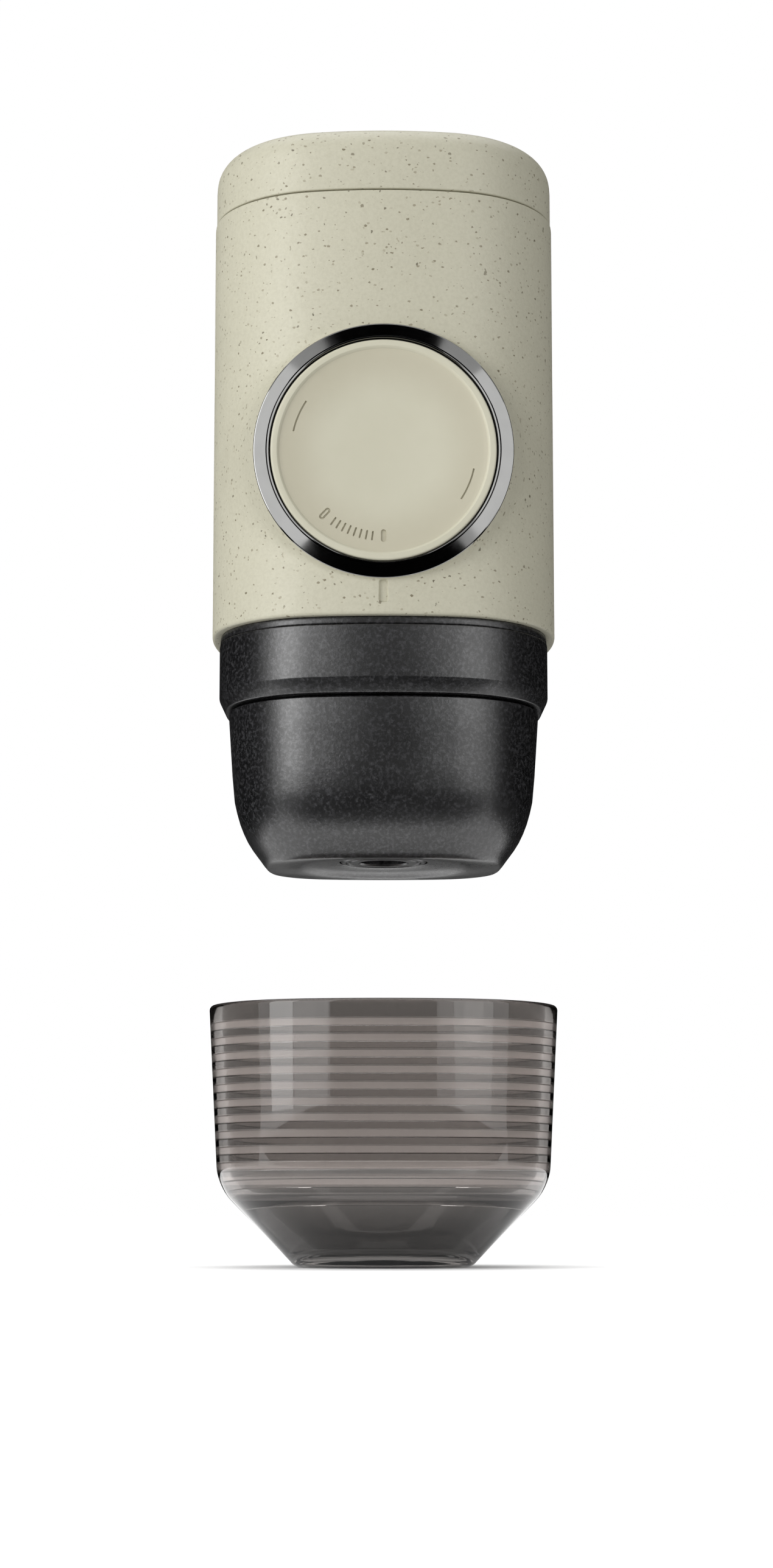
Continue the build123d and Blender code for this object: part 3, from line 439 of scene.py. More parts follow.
def knob_plastic():
    """A plain satin plastic, a touch warmer than the shell."""
    material, tree = new_material("knob_plastic")
    cloud = noise(tree, 45.0, 3.0)
    tone = blend(tree, remap(tree, cloud, 0.35, 0.65), srgb("CCC9B4"), srgb("D1CEBA"))
    # Painted shade: by radius, the tone darkens towards a browner grey in the recess inside the
    # lip, where shade falls, and stops at the lip.
    from_axis = add(tree, "VectorMath", {0: place(tree), 1: (0, 0, knob_height / 1000)},
                    operation="SUBTRACT")
    flat = add(tree, "VectorMath", {0: from_axis.outputs[0], 1: (1, 0, 1)}, operation="MULTIPLY")
    radius = add(tree, "VectorMath", {0: flat.outputs[0]}, operation="LENGTH").outputs["Value"]
    painted_shade = arithmetic(tree, "MULTIPLY", remap(tree, radius, *PAINTED_SHADE_SPAN, kind="SMOOTHSTEP"),
                        remap(tree, radius, *PAINTED_SHADE_EDGE, 1.0, 0.0))
    tone = blend(tree, arithmetic(tree, "MULTIPLY", painted_shade, 0.5), tone, srgb("B9B29C"))
    grain = noise(tree, 3000.0, 2.0)
    normal = bump(tree, grain, 0.22, 0.00004)
    rough = remap(tree, noise(tree, 700.0, 2.0), 0.3, 0.7, 0.34, 0.44)
    surface(tree, {"Base Color": tone, "Roughness": rough, "Normal": normal,
                   "Specular IOR Level": 0.45})
    return material


speckled = speckled_plastic()
knob_finish = knob_plastic()
print("shell and knob finishes made")


# %% [markdown]
# The lower pieces are glass filled nylon: nearly black, with a blasted mould grain that breaks a
# highlight into sparks. Two noises, one for the grain and one for slow patches of sheen, do it.
# The grain sets bump and sheen, so each spark is smoother, and its tone is paler as a painted
# glint.

# %% Dark grained plastic and the other solid finishes
def grained_plastic(name, dark, pale, glint_tone, rough_low, rough_high, grain_strength):
    """A moulded plastic with a blasted grain; its sparks get a paler tone as a painted glint."""
    material, tree = new_material(name)
    cloud = noise(tree, 55.0, 4.0)
    grain = noise(tree, 1500.0, 3.0, roughness=0.7)
    tone = blend(tree, remap(tree, cloud, 0.35, 0.65), srgb(dark), srgb(pale))
    # Painted glint: the grain's peaks take a paler tone, standing in for sparks of light on the
    # grain.
    tone = blend(tree, remap(tree, grain, 0.46, 0.70), tone, srgb(glint_tone))
    normal = bump(tree, grain, grain_strength, 0.00006)
    rough = arithmetic(tree, "ADD", remap(tree, cloud, 0.3, 0.7, rough_low, rough_high),
                       remap(tree, grain, 0.4, 0.65, 0.03, -0.03))
    surface(tree, {"Base Color": tone, "Roughness": rough, "Normal": normal,
                   "Specular IOR Level": 0.9})
    return material


def bare_metal(name, tone_a, tone_b, rough_low, rough_high, marks):
    """Metal with faint marks of its making."""
    material, tree = new_material(name)
    streak = noise(tree, 260.0, 3.0, place(tree, (1.0, 6.0, 1.0)))
    tone = blend(tree, streak, srgb(tone_a), srgb(tone_b))
    rough = remap(tree, noise(tree, 180.0, 3.0), 0.3, 0.7, rough_low, rough_high)
    normal = bump(tree, streak, marks, 0.00002)
    surface(tree, {"Base Color": tone, "Metallic": 1.0, "Roughness": rough, "Normal": normal})
    return material


def soft_rubber(name, dark, pale):
    """Silicone with a dusty, uneven sheen."""
    material, tree = new_material(name)
    cloud = noise(tree, 220.0, 3.0)
    tone = blend(tree, cloud, srgb(dark), srgb(pale))
    normal = bump(tree, noise(tree, 1800.0, 2.0), 0.2, 0.00004)
    rough = remap(tree, cloud, 0.3, 0.7, 0.5, 0.65)
    surface(tree, {"Base Color": tone, "Roughness": rough, "Normal": normal,
                   "Specular IOR Level": 0.3})
    return material


dark_finish = grained_plastic("dark_plastic", "080809", "0E0E0F", "414143", 0.27, 0.35, 0.45)
inner_finish = grained_plastic("inner_plastic", "464748", "525354", "626364", 0.45, 0.6, 0.3)
pump_finish = grained_plastic("pump_plastic", "B6B5AD", "C8C6BD", "D2D0C8", 0.35, 0.5, 0.15)
steel_finish = bare_metal("steel", "A9A8A6", "C9C8C5", 0.22, 0.36, 0.05)
chrome_finish = bare_metal("chrome", "7A7A79", "848483", 0.06, 0.10, 0.01)
silicone_finish = soft_rubber("silicone", "8C3B2E", "A04A3A")
print("solid finishes made")

# %% [markdown]
# The cup and the tank are clear moulded plastic. The cup is smoked: its surfaces take the light
# down by half, more where the foot is thick, and the steps inside are frosted and paler. The
# bands follow the height, so they always lie on the steps that are moulded there.

# %% Smoked and clear plastics
RIB_START = 12.6
RIB_PITCH = 2.94
RIB_COUNT = 12
SHOULDER = 15.5


def smoke_plastic():
    """The smoked cup, with paler frosted bands."""
    material, tree = new_material("smoke_plastic")
    coordinates = add(tree, "TexCoord")
    parts = add(tree, "SeparateXYZ", {"Vector": coordinates.outputs["Object"]})
    height = parts.outputs["Z"]
    steps = arithmetic(tree, "MULTIPLY_ADD", height, 1000.0 / RIB_PITCH, -RIB_START / RIB_PITCH)
    phase = arithmetic(tree, "FRACT", steps)
    rise = remap(tree, phase, 0.0, 0.05, kind="SMOOTHSTEP")
    fall = remap(tree, phase, 0.5, 0.55, 1.0, 0.0, "SMOOTHSTEP")
    above = arithmetic(tree, "GREATER_THAN", steps, 0.0)
    below = arithmetic(tree, "LESS_THAN", steps, float(RIB_COUNT))
    band = arithmetic(tree, "MULTIPLY", arithmetic(tree, "MULTIPLY", rise, fall),
                      arithmetic(tree, "MULTIPLY", above, below))
    cloud = noise(tree, 90.0, 2.0)
    clear = blend(tree, cloud, srgb("8C8886"), srgb("93908D"))
    frosted = blend(tree, cloud, srgb("C0B8B4"), srgb("C8C1BD"))
    foot = remap(tree, height, 0.002, SHOULDER / 1000, kind="SMOOTHSTEP")
    tone = blend(tree, band, blend(tree, foot, srgb("666361"), clear), frosted)
    rough = remap(tree, band, 0.0, 1.0, 0.03, 0.12)
    milky = remap(tree, band, 0.0, 1.0, 1.0, 0.86)
    surface(tree, {"Base Color": tone, "Roughness": rough, "IOR": 1.5,
                   "Transmission Weight": milky})
    return material


def clear_plastic():
    """The clear tank, with a little haze."""
    material, tree = new_material("clear_plastic")
    cloud = noise(tree, 120.0, 2.0)
    tone = blend(tree, cloud, srgb("E4E9EA"), srgb("EEF2F2"))
    rough = remap(tree, cloud, 0.3, 0.7, 0.05, 0.14)
    surface(tree, {"Base Color": tone, "Roughness": rough, "IOR": 1.5,
                   "Transmission Weight": 0.92})
    return material


smoke_finish = smoke_plastic()
tank_finish = clear_plastic()
print("clear finishes made")

# %% [markdown]
# The shell is one skin. Round the knob its rings are circles, so the edge of the pad is true, and
# further out they turn into the upright and level lines of the tube. The pad is flat, its flank
# leans back, and a growing smooth maximum lets the flank run into the bowed wall with no line. A
# boolean of a tube and a cone would leave a hard seam there.

# %% The shape of the shell's front
PAD_FACE = bezel_face - 0.9
PAD_SLOPE = math.tan(math.radians(22.0))
RUN_OUT = 5.0
SLOT_HALF = 0.9
SLOT_LOW = shell_low.z + 2.3
SLOT_HIGH = knob_height - bezel_outer - 0.1
SLOT_DEPTH = 0.6
SLOT_WALL = 0.22
SLOT_CORNER = 0.6
SLOT_PATCH = 2.6
SLOT_MARGIN = 1.0


def front_reach(x):
    """How far forward the outline's front lies at a place across."""
    x = abs(x)
    bow, corner, side = BODY_ARCS
    if x <= bow[2] * math.sin(bow[4]):
        return bow[1] + math.sqrt(bow[2] ** 2 - x ** 2)
    if x <= corner[0] + corner[2] * math.sin(corner[4]):
        return corner[1] + math.sqrt(max(0.0, corner[2] ** 2 - (x - corner[0]) ** 2))
    return math.sqrt(max(0.0, side[2] ** 2 - (x - side[0]) ** 2))


def pad_forward(x, z):
    """How far forward the front lies, with z measured from the pump's axis."""
    wall = front_reach(x)
    out = max(0.0, math.hypot(x, z) - bezel_outer)
    flank = PAD_FACE - out / PAD_SLOPE
    reach = min(RUN_OUT, 1.5 * out)
    forward = max(wall, flank)
    if reach > 1e-6:
        near = max(0.0, 1.0 - abs(wall - flank) / reach)
        forward += near * near * reach / 4
    return forward


def slot_depth(x, z):
    """How deep the index slot is cut at a place of the front."""
    middle = (SLOT_LOW + SLOT_HIGH) / 2 - knob_height
    across = abs(x) - SLOT_HALF + SLOT_CORNER
    along = abs(z - middle) - (SLOT_HIGH - SLOT_LOW) / 2 + SLOT_CORNER
    beyond = math.hypot(max(across, 0.0), max(along, 0.0)) + min(max(across, along), 0.0)
    share = min(1.0, max(0.0, (SLOT_CORNER - beyond) / SLOT_WALL))
    return SLOT_DEPTH * share * share * (3 - 2 * share)


def pad_place(r, phi):
    """A place on the front near the knob, from its radius and angle about the pump's axis."""
    x, z = r * math.cos(phi), r * math.sin(phi)
    return x, -pad_forward(x, z), knob_height + z


def length_at(x):
    """The outline's length from the front's middle to a place across."""
    low, high = 0.0, QUARTER
    for _ in range(40):
        middle = (low + high) / 2
        if oval_point(middle)[0] < abs(x):
            low = middle
        else:
            high = middle
    return math.copysign(low, x)


# %% [markdown]
# The front is a patch of rings and spokes that starts as a circle under the bezel and ends as a
# frame of straight lines. The knob's marks are read against the index slot below it. The slot's
# wall is narrower than the patch's faces, so they are subdivided there before it is pressed in.

# %% The front patch and the index slot
WALL = 2.2
FRONT_STEPS = 60
UPRIGHT_STEPS = 40
# Close together where the pad's edge turns over, wider apart out on the wall.
PATCH_RADII = (23.7, 24.3, 24.75, 24.87, 24.93, 25.0, 25.12, 25.3, 25.6, 26.0, 26.5, 27.1, 27.8,
               28.5, 29.2, 29.8, 30.3)
PATCH_LOW = shell_low.z + 1.0 - knob_height
PATCH_HIGH = 33.0
SPOKE_WIDTH = 46.0
SPOKE_HEIGHT = 31.0


def patch_border():
    """The border of the front patch as length and height, and each spoke's angle."""
    corners = ((-QUARTER, PATCH_LOW), (QUARTER, PATCH_LOW), (QUARTER, PATCH_HIGH),
               (-QUARTER, PATCH_HIGH))
    counts = (FRONT_STEPS, UPRIGHT_STEPS, FRONT_STEPS, UPRIGHT_STEPS)
    border = []
    for start, end, count in zip(corners, corners[1:] + corners[:1], counts):
        for i in range(count):
            border.append(Vector(start).lerp(Vector(end), i / count))
    return border, [math.atan2(p.y / SPOKE_HEIGHT, p.x / SPOKE_WIDTH) for p in border]


def press_slot(bm):
    """Subdivides the faces round the index slot and presses it in."""
    def near(v):
        level = SLOT_LOW - SLOT_MARGIN < v.co.z < SLOT_HIGH + SLOT_MARGIN
        return level and v.co.y < 0 and abs(v.co.x) < SLOT_PATCH

    edges = [edge for edge in bm.edges if all(near(v) for v in edge.verts)]
    bmesh.ops.subdivide_edges(bm, edges=edges, cuts=6, use_grid_fill=True)
    for v in bm.verts:
        if near(v) and v.co.y < -half_depth / 2 - WALL:
            height = v.co.z - knob_height
            v.co.y = slot_depth(v.co.x, height) - pad_forward(v.co.x, height)


print("patch", len(PATCH_RADII), "rings,", 2 * (FRONT_STEPS + UPRIGHT_STEPS), "spokes")


# %% [markdown]
# The skin grows from the patch's frame column by column round the back, like a sheet wrapped round
# a former. The rims grow the same way, down, inwards and up again, so the wall is real: it shows
# where the tank is lifted out. A Solidify modifier would thicken the slot and the pad as well.

# %% Body shell
BACK_STEPS = 56
PATCH_BLEND = 9
LOWER_ROUND = 0.6
INNER_ROUND = 0.3
UPPER_ROUND = 0.25


def build_shell():
    """The outer skin, the two rims and the inside of the wall."""
    bm = bmesh.new()
    border, angles = patch_border()
    row = first_ring(bm, [pad_place(PATCH_RADII[0], phi) for phi in angles])
    for r in PATCH_RADII[1:]:
        row = grow(bm, row, [pad_place(r, phi) for phi in angles])
    last = PATCH_RADII[-1]
    inner = [Vector((length_at(last * math.cos(phi)), last * math.sin(phi))) for phi in angles]
    for k in range(1, PATCH_BLEND + 1):
        flat = [a.lerp(b, k / PATCH_BLEND) for a, b in zip(inner, border)]
        row = grow(bm, row, [(*oval_point(p.x), knob_height + p.y) for p in flat])
    first_back = FRONT_STEPS + UPRIGHT_STEPS
    right = row[FRONT_STEPS:first_back + 1]
    left = [row[-i % len(row)] for i in range(UPRIGHT_STEPS + 1)]
    columns = [right]
    for c in range(1, BACK_STEPS + 1):
        s = QUARTER + 2 * QUARTER * c / BACK_STEPS
        places = [(*oval_point(s), v.co.z) for v in right]
        columns.append(grow(bm, columns[-1], places, closed=False))
    bmesh.ops.weld_verts(bm, targetmap=dict(zip(columns[-1], left)))
    back = columns[1:-1]
    low = row[:FRONT_STEPS + 1] + [column[0] for column in back]
    high = row[first_back:first_back + FRONT_STEPS + 1][::-1] + [column[-1] for column in back]
    lengths = [-QUARTER + 2 * QUARTER * i / FRONT_STEPS for i in range(FRONT_STEPS + 1)]
    lengths += [QUARTER + 2 * QUARTER * c / BACK_STEPS for c in range(1, BACK_STEPS)]

    def level(inset, height):
        return [(*oval_point(s, inset), height) for s in lengths]

    rows = [level(0, shell_low.z), level(WALL, shell_low.z), level(WALL, shell_high.z),
            level(0, shell_high.z)]
    rings = stack(bm, rows, low)
    bmesh.ops.bridge_loops(bm, edges=row_edges(bm, rings[-1]) + row_edges(bm, high))
    round_edge(bm, rings[1], LOWER_ROUND, 6)
    round_edge(bm, rings[2], INNER_ROUND, 2)
    round_edge(bm, rings[4], UPPER_ROUND, 4)
    press_slot(bm)
    # The hole under the bezel stays open: the bezel and the knob stand in it.
    return finish_mesh(bm, "shell_skin", crisp=28.0, fill=False)


shell_skin = build_shell()
dress(shell_skin, "main_unit", "speckled_shell", speckled, "body_shell")

# %% [markdown]
# The cap is a short stack: the bore for the tank, a rolled lower edge that makes the seam, a plain
# wall and a wide round into the flat top. The round is a bevel, and a bevel only works on an edge
# with a face on both sides, so the top is covered first.

# %% Tank cap
TANK_BORE = 26.9
CAP_CEILING = 2.4
CAP_ROUND = 6.0
SEAM_ROUND = 0.3


def build_cap():
    """The cap over the tank."""
    bm = bmesh.new()
    inset = half_width - cap_high.x
    rows = [circle(TANK_BORE, cap_high.z - CAP_CEILING), circle(TANK_BORE, cap_low.z),
            oval(inset, cap_low.z), oval(inset, cap_high.z)]
    rings = stack(bm, rows)
    cover(bm, rings[3])
    round_edge(bm, rings[1], SEAM_ROUND, 2)
    round_edge(bm, rings[2], SEAM_ROUND, 4)
    round_edge(bm, rings[3], CAP_ROUND, 14)
    return finish_mesh(bm, "cap_skin", crisp=28.0)


cap_skin = build_cap()
dress(cap_skin, "tank", "speckled_shell", speckled, "tank_cap")

# %% [markdown]
# The collar has a wall, a crisp chamfer and the bore of the thread, and the neck ring is the thin
# band above it. Both are closed stacks, so the last ring is bridged to the first.

# %% Collar and neck ring
COLLAR_BORE = 24.6
COLLAR_DECK = 2.7
DECK_HOLE = 5.3
CHAMFER_IN = 1.3
CHAMFER_HIGH = 2.8
# Ring, width and segments of each rounded edge.
COLLAR_ROUNDS = ((3, 0.3, 2), (4, 0.2, 3), (5, 0.12, 2), (6, 0.3, 4))
NECK_BAND = 4.0
NECK_ROUND = 0.2


def build_collar():
    """The dark collar with its chamfer."""
    bm = bmesh.new()
    low, high = collar_low.z, collar_high.z
    inset = half_width - collar_high.x
    rows = [circle(DECK_HOLE, high), circle(DECK_HOLE, high - COLLAR_DECK),
            circle(COLLAR_BORE, high - COLLAR_DECK), circle(COLLAR_BORE, low),
            oval(inset + CHAMFER_IN, low), oval(inset, low + CHAMFER_HIGH), oval(inset, high)]
    rings = stack(bm, rows)
    close_stack(bm, rings)
    for ring, width, segments in COLLAR_ROUNDS:
        round_edge(bm, rings[ring], width, segments)
    return finish_mesh(bm, "collar_skin", crisp=24.0)


def build_neck():
    """The band between collar and shell."""
    bm = bmesh.new()
    low, high = neck_low.z, neck_high.z
    inset = half_width - neck_high.x
    rings = stack(bm, [oval(inset + NECK_BAND, low), oval(inset, low), oval(inset, high),
                       oval(inset + NECK_BAND, high)])
    close_stack(bm, rings)
    for ring in (1, 2):
        round_edge(bm, rings[ring], NECK_ROUND, 3)
    return finish_mesh(bm, "neck_skin")


collar_skin = build_collar()
dress(collar_skin, "main_unit", "dark_plastic", dark_finish, "collar_ring")
neck_skin = build_neck()
dress(neck_skin, "main_unit", "dark_plastic", dark_finish, "neck_ring")

# %% [markdown]
# The bowl leans in a little and then turns under with one large round into a dished floor, where
# the nozzle sits. Its side is a row of insets, because the round isn't a plain arc, and above it
# stands the threaded spigot that the collar screws on to.

# %% Outlet bowl
BOWL_HEIGHT = 30.0
BOWL_SIDE = (
    (11.30, 0.0), (10.85, 0.25), (10.30, 0.9), (9.65, 1.8), (8.90, 2.8), (8.02, 4.0),
    (7.15, 5.4), (6.38, 7.0), (5.68, 8.8), (5.10, 10.8), (4.60, 13.0), (4.14, 18.0),
    (3.74, 24.0), (3.35, 30.0),
)
POCKET = 20.9
POCKET_FLOOR = 4.5
SPIGOT = 24.3
THREAD_DEPTH = 0.55
THREAD_TURNS = 3
THREAD_PITCH = 2.8
THREAD_START = 0.6
THREAD_RIDGE = ((THREAD_DEPTH, 0.0), (0.0, 0.7), (0.0, 1.5), (THREAD_DEPTH, 2.2))
SEAM_STEP = 5.2
SEAM_RISE = 0.5
DECK_ROUND = 0.3
NOZZLE_SEAT = ((6.25, 4.5), (6.25, 2.8), (8.7, 2.8), (8.7, 1.3), (9.0, 1.2), (13.0, 1.1),
               (15.6, 0.75), (16.6, 0.3), (17.2, 0.05))


def build_bowl():
    """The bowl with its spigot, pocket and dished floor."""
    bm = bmesh.new()
    base = bowl_low.z
    top = base + BOWL_HEIGHT
    rows = [circle(radius, base + height) for radius, height in NOZZLE_SEAT]
    rows += [oval(inset, base + height) for inset, height in BOWL_SIDE]
    rim = len(rows) - 1
    # A low step closes the sight line through the seam under the collar.
    rows += [oval(SEAM_STEP, top), oval(SEAM_STEP + 0.2, top + SEAM_RISE)]
    for turn in range(THREAD_TURNS):
        foot = top + THREAD_START + turn * THREAD_PITCH
        for out, height in THREAD_RIDGE:
            rows.append(circle(SPIGOT - out, foot + height))
    rows += [circle(SPIGOT - THREAD_DEPTH, bowl_high.z), circle(POCKET, bowl_high.z),
             circle(POCKET, base + POCKET_FLOOR)]
    rings = stack(bm, rows)
    close_stack(bm, rings)
    round_edge(bm, rings[rim], DECK_ROUND, 3)
    round_edge(bm, rings[-2], DECK_ROUND, 2)
    return finish_mesh(bm, "bowl_skin", crisp=30.0)


bowl_skin = build_bowl()
dress(bowl_skin, "outlet_head", "dark_plastic", dark_finish, "outlet_bowl")

# %% [markdown]
# The nozzle is turned, so its profile is drawn once and spun: the outlet's ring stands a little
# proud of a flat disc.

# %% Outlet nozzle
def build_nozzle():
    """The round outlet in the middle of the bowl's floor."""
    bm = bmesh.new()
    low, high, outer = nozzle_low.z, nozzle_high.z, nozzle_high.x
    profile = ((4.7, low + 0.3), (5.0, low), (6.6, low), (6.85, low + 0.25), (7.3, low + 0.25),
               (7.5, low), (outer - 0.3, low), (outer, low + 0.3), (outer, low + 1.6),
               (6.1, low + 1.6), (6.1, high), (4.7, high), (4.7, low + 0.3))
    spin_profile(bm, [(r, 0, z) for r, z in profile], (0, 0, 0), (0, 0, 1), 128)
    return finish_mesh(bm, "nozzle_skin")


nozzle_skin = build_nozzle()
dress(nozzle_skin, "outlet_head", "dark_plastic", dark_finish, "outlet_nozzle")

# %% [markdown]
# The bezel is turned and plated: a band that leans outwards, with a hair line on its outer edge
# and a fine bead inside. The lean is what makes the plating dark above and below and light at the
# sides; a flat ring would be one even grey.

# %% Bezel ring
BEZEL_WIDTH = 3.0
BEZEL_LEAN = 0.55


def build_bezel():
    """The plated ring round the knob."""
    bm = bmesh.new()
    inner = bezel_outer - BEZEL_WIDTH
    back = PAD_FACE + 0.05
    face = bezel_face
    profile = ((inner, back), (inner, face - 0.16), (inner + 0.08, face - 0.04),
               (inner + 0.2, face), (inner + 0.34, face - 0.03), (inner + 0.4, face - 0.12),
               (inner + 0.52, face - 0.12), (inner + 0.6, face - 0.05),
               (bezel_outer - 0.24, face - BEZEL_LEAN), (bezel_outer - 0.1, face - 0.62),
               (bezel_outer, face - 0.74), (bezel_outer, back), (inner, back))
    spin_profile(bm, [(r, -f, knob_height) for r, f in profile], (0, 0, knob_height),
                 (0, 1, 0), 192)
    return finish_mesh(bm, "bezel_skin", crisp=8.0)


bezel_skin = build_bezel()
dress(bezel_skin, "main_unit", "bezel_chrome", chrome_finish, "bezel_ring")

# %% [markdown]
# The knob's face is dished and carries engraved marks: a filled slot for the locked place, a
# hollow one for the unlocked place, short strokes between them and two thin arcs. The places
# where such a maker has words stay bare.

# %% Knob marks
LIP_WIDTH = 1.25
LIP_SLOPE = 0.5
DISH_EDGE = knob_radius - LIP_WIDTH - LIP_SLOPE
DISH_FRONT = bezel_face - 0.55
DISH_DEPTH = 0.9
MARK_RADIUS = 16.7
MARK_DEPTH = 0.4
TURN = 42.0
LOCKED_SIZE = (2.5, 1.0)
UNLOCKED_SIZE = (2.7, 1.1)
ISLAND_SIZE = (1.9, 0.38)
STROKE_SIZE = (1.9, 0.34)
STROKES = 8
FIRST_STROKE = -97.2
STROKE_STEP = 3.9
STROKE_SHIFT = 0.15
ARC_RADIUS = 17.6
ARC_STARTS = (147.0, -33.0)
ARC_SWEEP = 21.0
ARC_WIDTH = 0.32


def slot_outline(radius, angle, length, width, steps=6):
    """A round ended slot that points to the knob's middle."""
    out = Vector((math.cos(angle), math.sin(angle)))
    across = Vector((-out.y, out.x))
    half = (length - width) / 2
    points = []
    for end, turn in ((half, -90), (-half, 90)):
        for i in range(steps + 1):
            a = math.radians(turn + 180 * i / steps)
            points.append(out * (radius + end + width / 2 * math.cos(a))
                          + across * (width / 2 * math.sin(a)))
    return points


def arc_outline(radius, start, end, width, steps=24):
    """A thin band that follows a circle."""
    outer, inner = [], []
    for i in range(steps + 1):
        a = math.radians(start + (end - start) * i / steps)
        out = Vector((math.cos(a), math.sin(a)))
        outer.append(out * (radius + width / 2))
        inner.append(out * (radius - width / 2))
    return outer + inner[::-1]


marks = [slot_outline(MARK_RADIUS, math.radians(-90), *LOCKED_SIZE),
         slot_outline(MARK_RADIUS, math.radians(-90 - TURN), *UNLOCKED_SIZE)]
island = slot_outline(MARK_RADIUS, math.radians(-90 - TURN), *ISLAND_SIZE)
for k in range(STROKES):
    stroke_angle = math.radians(FIRST_STROKE - STROKE_STEP * k)
    marks.append(slot_outline(MARK_RADIUS + STROKE_SHIFT, stroke_angle, *STROKE_SIZE, 3))
for start in ARC_STARTS:
    marks.append(arc_outline(ARC_RADIUS, start, start + ARC_SWEEP, ARC_WIDTH))
print("marks", len(marks))


# %% [markdown]
# No bmesh operator cuts many small outlines into a curved face cleanly, so the face comes from
# Blender's own Delaunay tool, with the outlines as its fixed edges. Each mark's faces are then
# extruded inwards.

# %% Knob face
RIM_POINTS = 240
FACE_RINGS = 27
FACE_STEP = 0.75
MARK_CLEARANCE = 0.22


def dish_forward(r):
    """How far forward the dished face lies at a radius."""
    t = min(1.0, r / DISH_EDGE)
    return DISH_FRONT - DISH_DEPTH * (1.0 - t * t) ** 0.85


def inside(point, outline):
    """Whether a point lies in a closed outline."""
    hit = False
    for a, b in zip(outline, outline[1:] + outline[:1]):
        if (a.y > point.y) != (b.y > point.y):
            if point.x < (b.x - a.x) * (point.y - a.y) / (b.y - a.y) + a.x:
                hit = not hit
    return hit


def face_points(outlines):
    """The points of the face and the edges that have to stay."""
    rim = [math.radians(360 * i / RIM_POINTS) for i in range(RIM_POINTS)]
    points = [Vector((DISH_EDGE * math.cos(a), DISH_EDGE * math.sin(a))) for a in rim]
    edges = [(i, (i + 1) % RIM_POINTS) for i in range(RIM_POINTS)]
    for outline in outlines:
        first = len(points)
        points += outline
        edges += [(first + i, first + (i + 1) % len(outline)) for i in range(len(outline))]
    drawn = [p for outline in outlines for p in outline]
    for k in range(FACE_RINGS):
        r = DISH_EDGE * k / FACE_RINGS
        count = max(1, int(2 * math.pi * r / FACE_STEP))
        for i in range(count):
            a = 2 * math.pi * (i + 0.5 * (k % 2)) / count
            p = Vector((r * math.cos(a), r * math.sin(a)))
            if all((p - q).length > MARK_CLEARANCE for q in drawn):
                points.append(p)
    return points, edges


def sink_mark(bm, outline):
    """Extrudes the faces of one mark into the knob."""
    sunk = []
    for face in bm.faces:
        middle = face.calc_center_median()
        spot = Vector((middle.x, middle.z - knob_height))
        if inside(spot, outline) and not inside(spot, island):
            sunk.append(face)
    made = bmesh.ops.extrude_face_region(bm, geom=sunk)["geom"]
    lowered = [part for part in made if isinstance(part, bmesh.types.BMVert)]
    bmesh.ops.translate(bm, verts=lowered, vec=(0, MARK_DEPTH, 0))
    bmesh.ops.delete(bm, geom=sunk, context="FACES")


face_plan = face_points(marks + [island])
print("face", len(face_plan[0]), "points")


# %% [markdown]
# The rest of the knob grows from the face's rim: over the lip, back along the side and in to the
# stem that holds the rod. Its rings share the rim's points, so face and lip are one skin with no
# seam between them.

# %% Knob
SIDE_BACK = 5.4
PLATE_BACK = 4.2
SKIRT_BORE = 19.25
STEM_RADIUS = 7.0
STEM_BORE = 4.3
BORE_DEPTH = 5.0
LIP_EDGE = 5
LIP_ROUND = 0.4


def build_knob():
    """The turning cap of the pump."""
    bm = bmesh.new()
    points, edges = face_plan
    flat, _, triangles, _, _, _ = delaunay_2d_cdt(points, edges, [], 0, 1e-6)
    verts = [bm.verts.new((p.x, -dish_forward(p.length), knob_height + p.y)) for p in flat]
    for triangle in triangles:
        bm.faces.new([verts[i] for i in triangle])
    rim = [v for v in verts if abs(math.hypot(v.co.x, v.co.z - knob_height) - DISH_EDGE) < 1e-3]
    rim.sort(key=lambda v: math.atan2(v.co.z - knob_height, v.co.x))
    for outline in marks:
        sink_mark(bm, outline)
    turned = [math.atan2(v.co.z - knob_height, v.co.x) for v in rim]
    profile = ((DISH_EDGE + 0.06, DISH_FRONT + 0.02), (DISH_EDGE + 0.44, bezel_face - 0.06),
               (DISH_EDGE + 0.52, bezel_face - 0.01), (DISH_EDGE + 0.62, bezel_face),
               (knob_radius, bezel_face), (knob_radius, knob_back + SIDE_BACK),
               (SKIRT_BORE, knob_back + SIDE_BACK), (SKIRT_BORE, knob_back + PLATE_BACK),
               (STEM_RADIUS, knob_back + PLATE_BACK), (STEM_RADIUS, knob_back),
               (STEM_BORE, knob_back), (STEM_BORE, knob_back + BORE_DEPTH))
    rows = [[(r * math.cos(a), -f, knob_height + r * math.sin(a)) for a in turned]
            for r, f in profile]
    rings = stack(bm, rows, rim)
    round_edge(bm, rings[LIP_EDGE], LIP_ROUND, 5)
    return finish_mesh(bm, "knob_skin", crisp=26.0)


knob_skin = build_knob()
dress(knob_skin, "knob", "knob_plastic", knob_finish, "knob_cap")

# %% [markdown]
# The cup's wall is an oval rim, a shoulder and a small oval foot, grown inside and out. The wide
# shoulder is one bevel. Level cuts split the inside into bands, and every second band is pushed
# inwards a little: these are the low steps that show through the smoke.

# %% Cup
CUP_WALL = 2.2
CUP_FLOOR = 4.0
SHOULDER_INSET = 1.8
SHOULDER_BEVEL = 3.7
SHOULDER_TURN = 45.0
FLOOR_ROUND = 1.6
FOOT_ROUND = 1.1
FOOT_RECESS = ((0.84, 0.0), (0.80, 0.3), (0.3, 0.35))
RIM_ROUND = 0.7
RIB_PROUD = 0.35
RIB_SLOPE = 0.08


def cut_level(bm, height):
    """Cuts all faces at a height."""
    bmesh.ops.bisect_plane(bm, geom=bm.verts[:] + bm.edges[:] + bm.faces[:], dist=1e-5,
                           plane_co=(0, 0, height), plane_no=(0, 0, 1))


